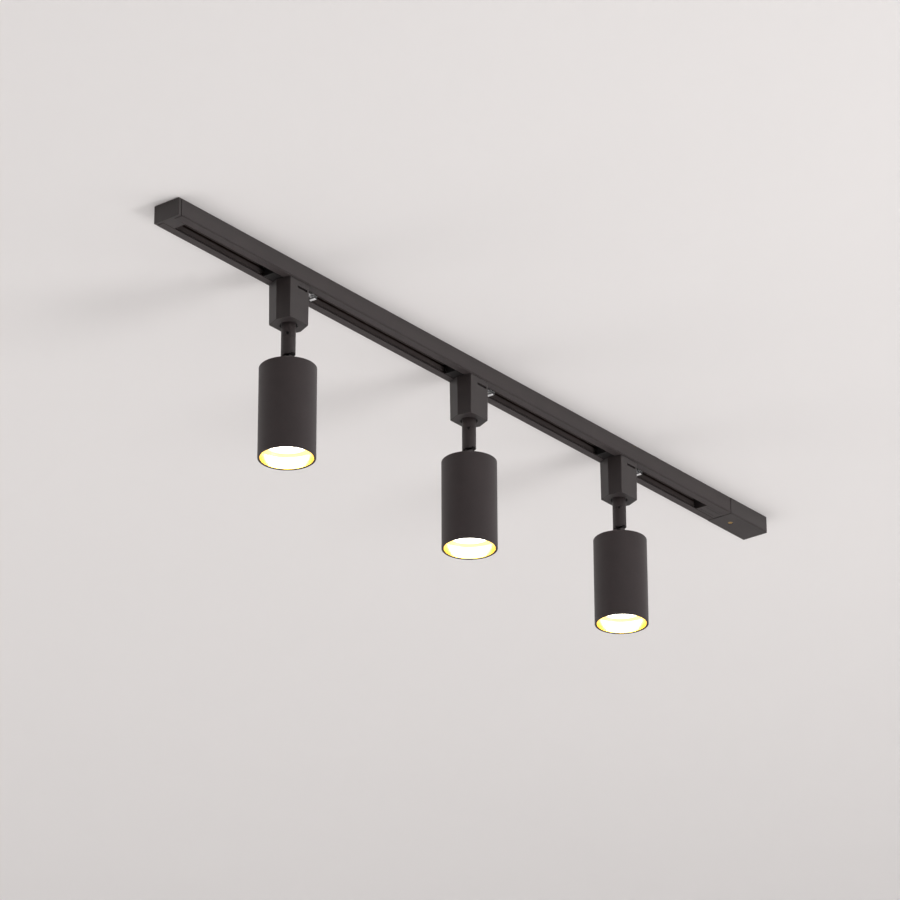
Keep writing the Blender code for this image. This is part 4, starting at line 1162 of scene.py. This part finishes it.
class TRACKLIGHT_OT_carriers(bpy.types.Operator):
    """Build the contact carriers in the slot, with their locking wings and leaf contacts"""

    bl_idname = "tracklight.carriers"
    bl_label = "Contact carriers"

    def execute(self, context):
        sizes = context.scene.track_light_sizes
        for n in HEADS:
            axis = STEM_AXIS[n].x
            self.carrier(sizes, n, axis)
            for word, side in (("live", 1), ("neutral", -1)):
                self.side_leaf(n, axis, word, side)
            self.earth_leaf(n, axis)
        return {"FINISHED"}

    def carrier(self, sizes, n, axis):
        low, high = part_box(f"contact_carrier_{n}")
        half = sizes.slot_width / 2 - CARRIER_CLEARANCE
        shape = block((low.x - axis, -half, low.z), (high.x - axis, half, high.z), GAP)
        item = draft_object(f"contact_carrier_piece_{n}", shape)
        wing_low = RAIL_LOW.z + sizes.rail_lip + GAP
        plan = [
            (-WING_LENGTH / 2, -WING_HALF_SPAN), (WING_LENGTH / 2, -WING_HALF_SPAN),
            (WING_LENGTH / 2, WING_HALF_SPAN), (-WING_LENGTH / 2, WING_HALF_SPAN),
        ]
        join(item, prism(plan, WING_THICKNESS, wing_low, wing_low + WING_THICKNESS, GAP))
        pivot = LATCH_AXIS[n]
        latch_low, latch_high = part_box(f"latch_tab_{n}")
        notch_half = LATCH_WIDTH / 2 + LATCH_SPARE
        notch_low = (pivot.x - axis - LATCH_ROOM, -notch_half, 2 * RAIL_LOW.z)
        notch_high = (high.x - axis + LATCH_ROOM, notch_half, pivot.z + LATCH_ROOM)
        cut(item, block(notch_low, notch_high, GAP))
        seat = Vector((0, (latch_high.y - latch_low.y) / 2 + GAP, 0))
        middle = Vector((pivot.x - axis, 0, pivot.z))
        cut(item, rod(middle - seat, middle + seat, TRUNNION + 2 * GAP, SCREW_SIDES))
        finished(item, "carrier_shaded_black", f"adapter_{n}", [f"contact_carrier_{n}"], (axis, 0, 0))

    def side_leaf(self, n, axis, word, side):
        contact = f"{word}_contact_{n}"
        low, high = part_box(contact)
        root, reach = sorted((low.y, high.y), key=abs)
        path = leaf_path(low.x - axis, high.x - axis, root, reach)
        shape = strip(path, LEAF_SHEET, low.z, high.z, LEAF_SHEET / 4)
        item = draft_object(f"{word}_leaf_{n}", shape)
        finished(item, "brass", f"adapter_{n}", [contact], (axis, 0, 0))

    def earth_leaf(self, n, axis):
        low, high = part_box(f"earth_contact_{n}")
        path = leaf_path(low.x - axis, high.x - axis, low.z, high.z)
        shape = strip(path, LEAF_SHEET, -high.y, -low.y, LEAF_SHEET / 4)
        item = draft_object(f"earth_leaf_{n}", placed(shape, ALONG_Y))
        finished(item, "brass", f"adapter_{n}", [f"earth_contact_{n}"], (axis, 0, 0))


def leaf_path(start, end, root, reach):
    """A leaf spring's middle line: flat feet at root and a rounded bow out to reach."""
    side = 1 if reach > root else -1
    foot = root + side * LEAF_SHEET / 2
    bow = reach - side * LEAF_SHEET / 2
    path = []
    for i in range(LEAF_STEPS + 1):
        share = i / LEAF_STEPS
        rise = math.sin(math.pi * share) ** 2
        path.append((start + (end - start) * share, foot + (bow - foot) * rise))
    return path


# Latch tab: a spring strip that drops from its axis, runs out under the carrier and ends in a rolled eye.
LATCH_WIDTH = 0.0080
LATCH_SHEET = 0.0008
LATCH_REACH = 0.0163
LATCH_CURL = 0.0021
LATCH_DROP = 0.0037
LATCH_KNEE = (0.30, 0.55)
LATCH_HEEL = 0.45
CURL_START = 90
CURL_END = -200
CURL_STEPS = 28


class TRACKLIGHT_OT_latches(bpy.types.Operator):
    """Build the spring steel latch tabs with their rolled ends"""

    bl_idname = "tracklight.latches"
    bl_label = "Latch tabs"

    def execute(self, context):
        foot = -LATCH_DROP
        eye = (LATCH_REACH, foot - LATCH_CURL)
        knee = (LATCH_KNEE[0] * LATCH_REACH, LATCH_KNEE[1] * foot)
        heel = (LATCH_HEEL * LATCH_REACH, foot)
        bends = [(-LATCH_SHEET, 0.0), (0.0, 0.0), knee, heel, (LATCH_REACH, foot)]
        straight = [point[:2] for point in softened(bends, LATCH_CURL / 2)]
        path = straight[:-1] + arc(eye, LATCH_CURL, CURL_START, CURL_END, CURL_STEPS)
        for n in HEADS:
            pivot = LATCH_AXIS[n]
            low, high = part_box(f"latch_tab_{n}")
            shape = strip(path, LATCH_SHEET, -LATCH_WIDTH / 2, LATCH_WIDTH / 2, LATCH_SHEET / 5)
            tab = draft_object(f"latch_tab_piece_{n}", placed(shape, ALONG_Y))
            join(tab, rod((0, low.y, 0), (0, high.y, 0), TRUNNION, SCREW_SIDES, GAP / 2))
            finished(tab, "bright_steel", f"latch_{n}", [f"latch_tab_{n}"], pivot)
        return {"FINISHED"}


# ---- Stems and hinges ------------------------------------------------------------------------

STEM_LENGTH = 0.0365
STEM_EDGE = GAP / 2.2
SEAM_DROP = 0.0158
SEAM_HEIGHT = 0.0005
SEAM_DEPTH = 0.0003
SET_SCREW = 0.0032
SET_SCREW_LENGTH = 0.0026
SET_SCREW_DROP = 0.0125
SET_SCREW_TURN = math.radians(215)
HINGE_RADIUS = 0.006
HINGE_LAP = 0.0052
HINGE_SKIRT = 0.0015
HINGE_NOTCH = 0.0018
NOTCH_START = 0.66
HINGE_SCREW = 0.0036
HINGE_HEAD = 0.0064
HINGE_HEAD_HEIGHT = 0.0012
HINGE_CROSS = 0.6
RIVET = 0.008
RIVET_HEAD = 0.013
RIVET_HEAD_HEIGHT = 0.0015
LAP_STEPS = 24


def lap_outline(direction, reach):
    """Half of the hinge about its screw: a round end, and straight sides up or down to reach."""
    start = 180 if direction > 0 else 0
    half = HINGE_RADIUS
    round_end = arc((0, 0), half, start, start + 180, LAP_STEPS)
    return round_end + [(direction * half, reach), (-direction * half, reach)]


def lap(direction, reach, near, far, edge):
    """A lap of the hinge between two depths along Y, with its rims rounded."""
    outline = lap_outline(direction, reach)
    centre_up = sum(up for _, up in outline) / len(outline)
    rings = []
    for depth, inset, mark in end_steps(near, far, edge, edge):
        shrink = 1 - inset / HINGE_RADIUS
        rings.append([(x * shrink, depth, centre_up + (z - centre_up) * shrink, mark) for x, z in outline])
    return loft(rings)


class TRACKLIGHT_OT_stems(bpy.types.Operator):
    """Build the swivelling stems with their seam, set screw and hinge tongue"""

    bl_idname = "tracklight.stems"
    bl_label = "Stems"

    def execute(self, context):
        for n in HEADS:
            self.stem(n)
            self.set_screw(n)
        return {"FINISHED"}

    def stem(self, n):
        axis = STEM_AXIS[n]
        base = axis.z
        pivot = TILT_AXIS[n].z
        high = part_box(f"stem_{n}")[1]
        radius = STEM_DIAMETER / 2
        shoulder = base - STEM_LENGTH
        seam = base - SEAM_DROP
        flange_low = high.z - FLANGE_HEIGHT
        profile = [
            (0, high.z), (radius + FLANGE_MARGIN, high.z), (radius + FLANGE_MARGIN, flange_low),
            (radius, flange_low), (radius, seam), (radius - SEAM_DEPTH, seam),
            (radius - SEAM_DEPTH, seam - SEAM_HEIGHT), (radius, seam - SEAM_HEIGHT),
            (radius, shoulder - HINGE_SKIRT), (0, shoulder - HINGE_SKIRT),
        ]
        item = draft_object(f"stem_piece_{n}", turned(profile, STEM_EDGE, STEM_SIDES))
        notch_low = (-STEM_DIAMETER, -STEM_DIAMETER, shoulder - HINGE_SKIRT - STEM_DIAMETER)
        cut(item, block(notch_low, (STEM_DIAMETER, GAP, shoulder), GAP / 2))
        notch_low = (-HINGE_RADIUS * NOTCH_START, *notch_low[1:])
        cut(item, block(notch_low, (STEM_DIAMETER, GAP, shoulder + HINGE_NOTCH), GAP / 2))
        reach = shoulder - pivot + SEAM_HEIGHT
        join(item, placed(lap(1, reach, GAP / 2, HINGE_LAP, GAP), Matrix.Translation((0, 0, pivot))))
        cut(item, rod((0, 0, shoulder - GAP / 2), (0, 0, high.z + GAP), STEM_BORE, STEM_SIDES))
        cut(item, rod((0, -GAP, pivot), (0, 2 * HINGE_LAP, pivot), HINGE_SCREW + 2 * GAP, SCREW_SIDES))
        outward, surface = self.screw_place(base)
        start = surface - outward * (SET_SCREW_LENGTH + 2 * GAP)
        cut(item, rod(start, surface + outward * radius, SET_SCREW + 2 * GAP, SCREW_SIDES))
        finished(item, "rail_black", f"stem_{n}", [f"stem_{n}"], (axis.x, 0, 0))

    def screw_place(self, base):
        outward = Vector((math.cos(SET_SCREW_TURN), math.sin(SET_SCREW_TURN), 0))
        return outward, Vector((0, 0, base - SET_SCREW_DROP)) + outward * STEM_DIAMETER / 2

    def set_screw(self, n):
        axis = STEM_AXIS[n]
        outward, surface = self.screw_place(axis.z)
        outer = surface - outward * GAP
        inner = outer - outward * SET_SCREW_LENGTH
        item = draft_object(f"set_screw_piece_{n}", rod(inner, outer, SET_SCREW, SCREW_SIDES, GAP))
        cut(item, rod(outer - outward * SET_SCREW_LENGTH / 2, outer + outward * GAP, SET_SCREW / 2, 6))
        finished(item, "dark_steel", f"stem_{n}", [f"set_screw_{n}"], (axis.x, 0, 0))


class TRACKLIGHT_OT_hinges(bpy.types.Operator):
    """Build the hinge leaves on the heads and their cross screws"""

    bl_idname = "tracklight.hinges"
    bl_label = "Tilt hinges"

    def execute(self, context):
        for n in HEADS:
            self.leaf(context.scene.track_light_sizes, n)
            self.screw(n)
        return {"FINISHED"}

    def leaf(self, sizes, n):
        pivot = TILT_AXIS[n]
        head_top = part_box(f"head_housing_{n}")[1].z - pivot.z
        item = draft_object(f"hinge_leaf_piece_{n}", lap(-1, head_top + GAP, -HINGE_LAP, -GAP / 2, GAP))
        bridge_high = -HINGE_RADIUS - 2 * GAP
        bridge_half = RIVET / 2 + GAP
        bridge_low = (-bridge_half, -HINGE_LAP / 2, head_top + GAP)
        join(item, block(bridge_low, (bridge_half, HINGE_LAP, bridge_high), GAP / 2))
        inside = head_top - sizes.head_roof - GAP
        rivet = [
            (0, bridge_high - GAP), (RIVET / 2, bridge_high - GAP), (RIVET / 2, inside),
            (RIVET_HEAD / 2, inside), (RIVET_HEAD / 2, inside - RIVET_HEAD_HEIGHT),
            (0, inside - RIVET_HEAD_HEIGHT),
        ]
        join(item, turned(rivet, GAP / 2, SCREW_SIDES))
        cut(item, rod((0, -2 * HINGE_LAP, 0), (0, GAP, 0), HINGE_SCREW + 2 * GAP, SCREW_SIDES))
        finished(item, "rail_black", f"head_{n}", [f"hinge_leaf_{n}"], pivot)

    def screw(self, n):
        start = -HINGE_LAP - GAP
        profile = [
            (0, start - HINGE_HEAD_HEIGHT), (HINGE_HEAD / 3, start - HINGE_HEAD_HEIGHT),
            (HINGE_HEAD / 2, start - HINGE_HEAD_HEIGHT / 2), (HINGE_HEAD / 2, start),
            (HINGE_SCREW / 2, start), (HINGE_SCREW / 2, HINGE_LAP), (0, HINGE_LAP),
        ]
        turn = Matrix.Rotation(-math.pi / 2, 4, "X")
        item = draft_object(f"hinge_screw_piece_{n}", placed(turned(profile, GAP / 3, SCREW_SIDES), turn))
        face = start - HINGE_HEAD_HEIGHT
        for slot in cross_recess((0, face, 0), HINGE_HEAD * HINGE_CROSS, HINGE_HEAD_HEIGHT / 2, turn):
            cut(item, slot)
        finished(item, "dark_steel", f"head_{n}", [f"hinge_screw_{n}"], TILT_AXIS[n])


# ---- Heads and lamps -------------------------------------------------------------------------

SLEEVE_WALL = 0.0007
LEDGE_DEPTH = 0.0162
LEDGE_OPENING = 0.0241
LAMP_RING = 0.0014
LENS_THICKNESS = 0.0018
LAMP_NECK_STEPS = 10
LAMP_BASE_SHARE = 0.48
LAMP_BAND = 0.0045
LAMP_BASE_HEIGHT = 0.007
LENS_STEPS = 6


class TRACKLIGHT_OT_heads(bpy.types.Operator):
    """Build the tube-shaped heads and their gilt sleeves"""

    bl_idname = "tracklight.heads"
    bl_label = "Heads"

    def execute(self, context):
        sizes = context.scene.track_light_sizes
        for n in HEADS:
            place = HEAD_PLACE[n]
            self.housing(sizes, n, place)
            self.sleeve(sizes, n, place)
        return {"FINISHED"}

    def housing(self, sizes, n, place):
        low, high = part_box(f"head_housing_{n}")
        outer = (high.y - low.y) / 2
        inner = outer - sizes.head_wall
        hole = RIVET / 2 + GAP
        under = high.z - sizes.head_roof
        section = [
            (hole, high.z), (outer, high.z), (outer, low.z), (inner, low.z), (inner, under), (hole, under)
        ]
        radii = [GAP, sizes.head_edge, sizes.head_rim, sizes.head_rim, GAP, GAP]
        item = draft_object(f"head_tube_{n}", turned(section, radii, HEAD_SIDES, hollow=True))
        finished(item, "head_black", f"head_{n}", [f"head_housing_{n}"], place)

    def sleeve(self, sizes, n, place):
        low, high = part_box(f"gilt_sleeve_{n}")
        outer = (high.y - low.y) / 2
        inner = outer - SLEEVE_WALL
        ledge_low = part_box(f"head_housing_{n}")[0].z + LEDGE_DEPTH
        ledge_high = ledge_low + SLEEVE_WALL
        section = [
            (inner, high.z), (outer, high.z), (outer, low.z), (inner, low.z), (inner, ledge_low),
            (LEDGE_OPENING, ledge_low), (LEDGE_OPENING, ledge_high), (inner, ledge_high),
        ]
        radii = [CRISP, CRISP, GAP / 2, GAP / 2, 2 * GAP, GAP / 2, GAP / 2, CRISP]
        item = draft_object(f"gilt_sleeve_piece_{n}", turned(section, radii, HEAD_SIDES, hollow=True))
        finished(item, "gilt", f"head_{n}", [f"gilt_sleeve_{n}"], place)


class TRACKLIGHT_OT_lamps(bpy.types.Operator):
    """Build the reflector lamps with their lit fronts, and finish their holders"""

    bl_idname = "tracklight.lamps"
    bl_label = "Lamps"

    def execute(self, context):
        for n in HEADS:
            place = HEAD_PLACE[n]
            self.shell(n, place)
            self.front(n, place)
            refinish(f"lamp_holder_{n}", "ceramic")
        return {"FINISHED"}

    def shell(self, n, place):
        low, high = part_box(f"lamp_body_{n}")
        radius = (high.y - low.y) / 2
        base = radius * LAMP_BASE_SHARE
        waist_low = low.z + LAMP_BAND
        waist_high = high.z - LAMP_BASE_HEIGHT
        bowl = []
        for i in range(1, LAMP_NECK_STEPS):
            share = i / LAMP_NECK_STEPS
            width = base + (radius - base) * math.sin(math.pi / 2 * share)
            bowl.append((width, waist_high + (waist_low - waist_high) * share))
        seat = low.z + LENS_THICKNESS
        profile = [
            (0, high.z), (base, high.z), (base, waist_high), *bowl, (radius, waist_low), (radius, low.z)
        ]
        profile += [(radius - LAMP_RING, low.z), (radius - LAMP_RING, seat), (0, seat)]
        item = draft_object(f"lamp_shell_{n}", turned(profile, GAP / 2, STEM_SIDES))
        finished(item, "lamp_white", f"head_{n}", [f"lamp_body_{n}"], place)

    def front(self, n, place):
        low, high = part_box(f"lamp_lens_{n}")
        radius = (high.y - low.y) / 2
        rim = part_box(f"lamp_body_{n}")[0].z
        profile = [(0, high.z), (radius, high.z), (radius, rim)]
        for i in range(1, LENS_STEPS):
            share = i / LENS_STEPS
            profile.append((radius * (1 - share), rim - (rim - low.z) * math.sin(math.pi / 2 * share)))
        profile.append((0, low.z))
        item = draft_object(f"lamp_front_{n}", turned(profile, CRISP, STEM_SIDES))
        finished(item, "lamp_glow", f"head_{n}", [f"lamp_lens_{n}"], place)


# ---- Stage -----------------------------------------------------------------------------------


def pale_panel(name, width, height, finish, facing_down):
    """A large level panel that faces up or down."""
    shape = bmesh.new()
    bmesh.ops.create_grid(shape, x_segments=1, y_segments=1, size=width / 2)
    if facing_down:
        bmesh.ops.reverse_faces(shape, faces=shape.faces)
    panel = draft_object(name, shape)
    panel.location = (0, 0, height)
    panel.data.materials.append(material_for(finish))


AIR_COLOUR = (0.90, 0.89, 0.88, 1.0)
SENSOR_WIDTH = 36.0
FARTHEST_SEEN = 100.0

# Soft lights: place, the point each faces, width, and tint. Their powers are stage values of the same names.
LIGHTS = {
    "key_power": ((0.3, -2.4, -2.05), (0, 0, -0.1), 1.2, (1.0, 0.995, 0.99)),
    "side_power": ((3.2, -2.4, -1.2), (0, 0, -0.1), 2.0, (1.0, 0.995, 0.99)),
    "back_power": ((-1.4, 3.8, -2.0), (0, 0, 0), 3.0, (1.0, 0.995, 0.99)),
    "room_power": ((0.0, -0.3, -2.35), (0.0, -0.3, 0), 9.0, (1.0, 0.99, 0.985)),
    "top_power": ((0.3, -0.2, 2.2), (0, 0, 0), 2.0, (1.0, 1.0, 1.0)),
}


def soft_light(name, place, target, size, power, tint):
    light = bpy.data.lights.new(name, "AREA")
    light.shape = "DISK"
    light.size = size
    light.energy = power
    light.color = tint
    item = bpy.data.objects.new(name, light)
    bpy.context.scene.collection.objects.link(item)
    item.visible_camera = False
    item.location = place
    item.rotation_euler = (Vector(target) - Vector(place)).to_track_quat("-Z", "Y").to_euler()


class TRACKLIGHT_OT_stage(bpy.types.Operator):
    """Build the pale ceiling and floor, the soft lights and the camera"""

    bl_idname = "tracklight.stage"
    bl_label = "Stage"

    def execute(self, context):
        stage = context.scene.track_light_stage
        pale_panel("ceiling_panel", stage.ceiling_width, GAP, "ceiling_plaster", True)
        pale_panel("floor_panel", 2 * stage.ceiling_width, -stage.room_height, "floor_plain", False)
        for name in LIGHTS:
            place, target, size, tint = LIGHTS[name]
            soft_light(name, place, target, size, getattr(stage, name), tint)
        context.scene.world = self.world(stage)
        context.scene.view_settings.view_transform = "Standard"
        self.camera(context.scene, stage)
        return {"FINISHED"}

    def world(self, stage):
        """Even pale air, brighter where it is seen directly."""
        world = bpy.data.worlds.new("pale air")
        world.use_nodes = True
        tree = world.node_tree
        air = tree.nodes["Background"].inputs
        air["Color"].default_value = AIR_COLOUR
        seen = node(tree, "ShaderNodeLightPath").outputs["Is Camera Ray"]
        strength = spread(tree, seen, 0.0, 1.0, stage.world_strength, stage.backdrop_strength)
        feed(tree, strength, air["Strength"])
        return world

    def camera(self, scene, stage):
        data = bpy.data.cameras.new("camera")
        data.lens = stage.camera_lens
        data.sensor_width = SENSOR_WIDTH
        data.clip_end = FARTHEST_SEEN
        camera = bpy.data.objects.new("camera", data)
        scene.collection.objects.link(camera)
        heading = Matrix.Rotation(-stage.camera_heading, 4, "Z")
        rise = Matrix.Rotation(math.pi / 2 + stage.camera_rise, 4, "X")
        roll = Matrix.Rotation(stage.camera_roll, 4, "Z")
        camera.matrix_world = Matrix.Translation(stage.camera_place) @ heading @ rise @ roll
        scene.camera = camera


# ---- Panel and registration ------------------------------------------------------------------

OPERATORS = (
    TRACKLIGHT_OT_rail,
    TRACKLIGHT_OT_strips,
    TRACKLIGHT_OT_end_cap,
    TRACKLIGHT_OT_feed,
    TRACKLIGHT_OT_blocks,
    TRACKLIGHT_OT_carriers,
    TRACKLIGHT_OT_latches,
    TRACKLIGHT_OT_stems,
    TRACKLIGHT_OT_hinges,
    TRACKLIGHT_OT_heads,
    TRACKLIGHT_OT_lamps,
    TRACKLIGHT_OT_stage,
)


class TRACKLIGHT_PT_panel(bpy.types.Panel):
    """Buttons for the pieces of the track light, with its sizes and colours"""

    bl_idname = "TRACKLIGHT_PT_panel"
    bl_label = "Track Light"
    bl_space_type = "VIEW_3D"
    bl_region_type = "UI"
    bl_category = "Track Light"

    def draw(self, context):
        for operator in OPERATORS:
            self.layout.operator(operator.bl_idname)
        scene = context.scene
        for group in (scene.track_light_sizes, scene.track_light_colours, scene.track_light_stage):
            box = self.layout.box()
            for key in group.__annotations__:
                box.prop(group, key)


CLASSES = (TrackLightSizes, TrackLightColours, TrackLightStage, *OPERATORS, TRACKLIGHT_PT_panel)


def register():
    for item in CLASSES:
        bpy.utils.register_class(item)
    bpy.types.Scene.track_light_sizes = PointerProperty(type=TrackLightSizes)
    bpy.types.Scene.track_light_colours = PointerProperty(type=TrackLightColours)
    bpy.types.Scene.track_light_stage = PointerProperty(type=TrackLightStage)


def unregister():
    del bpy.types.Scene.track_light_stage
    del bpy.types.Scene.track_light_colours
    del bpy.types.Scene.track_light_sizes
    for item in reversed(CLASSES):
        bpy.utils.unregister_class(item)


def main():
    register()
    for operator in OPERATORS:
        group, name = operator.bl_idname.split(".")
        getattr(getattr(bpy.ops, group), name)()
    bpy.context.view_layer.update()


if __name__ == "__main__":
    main()
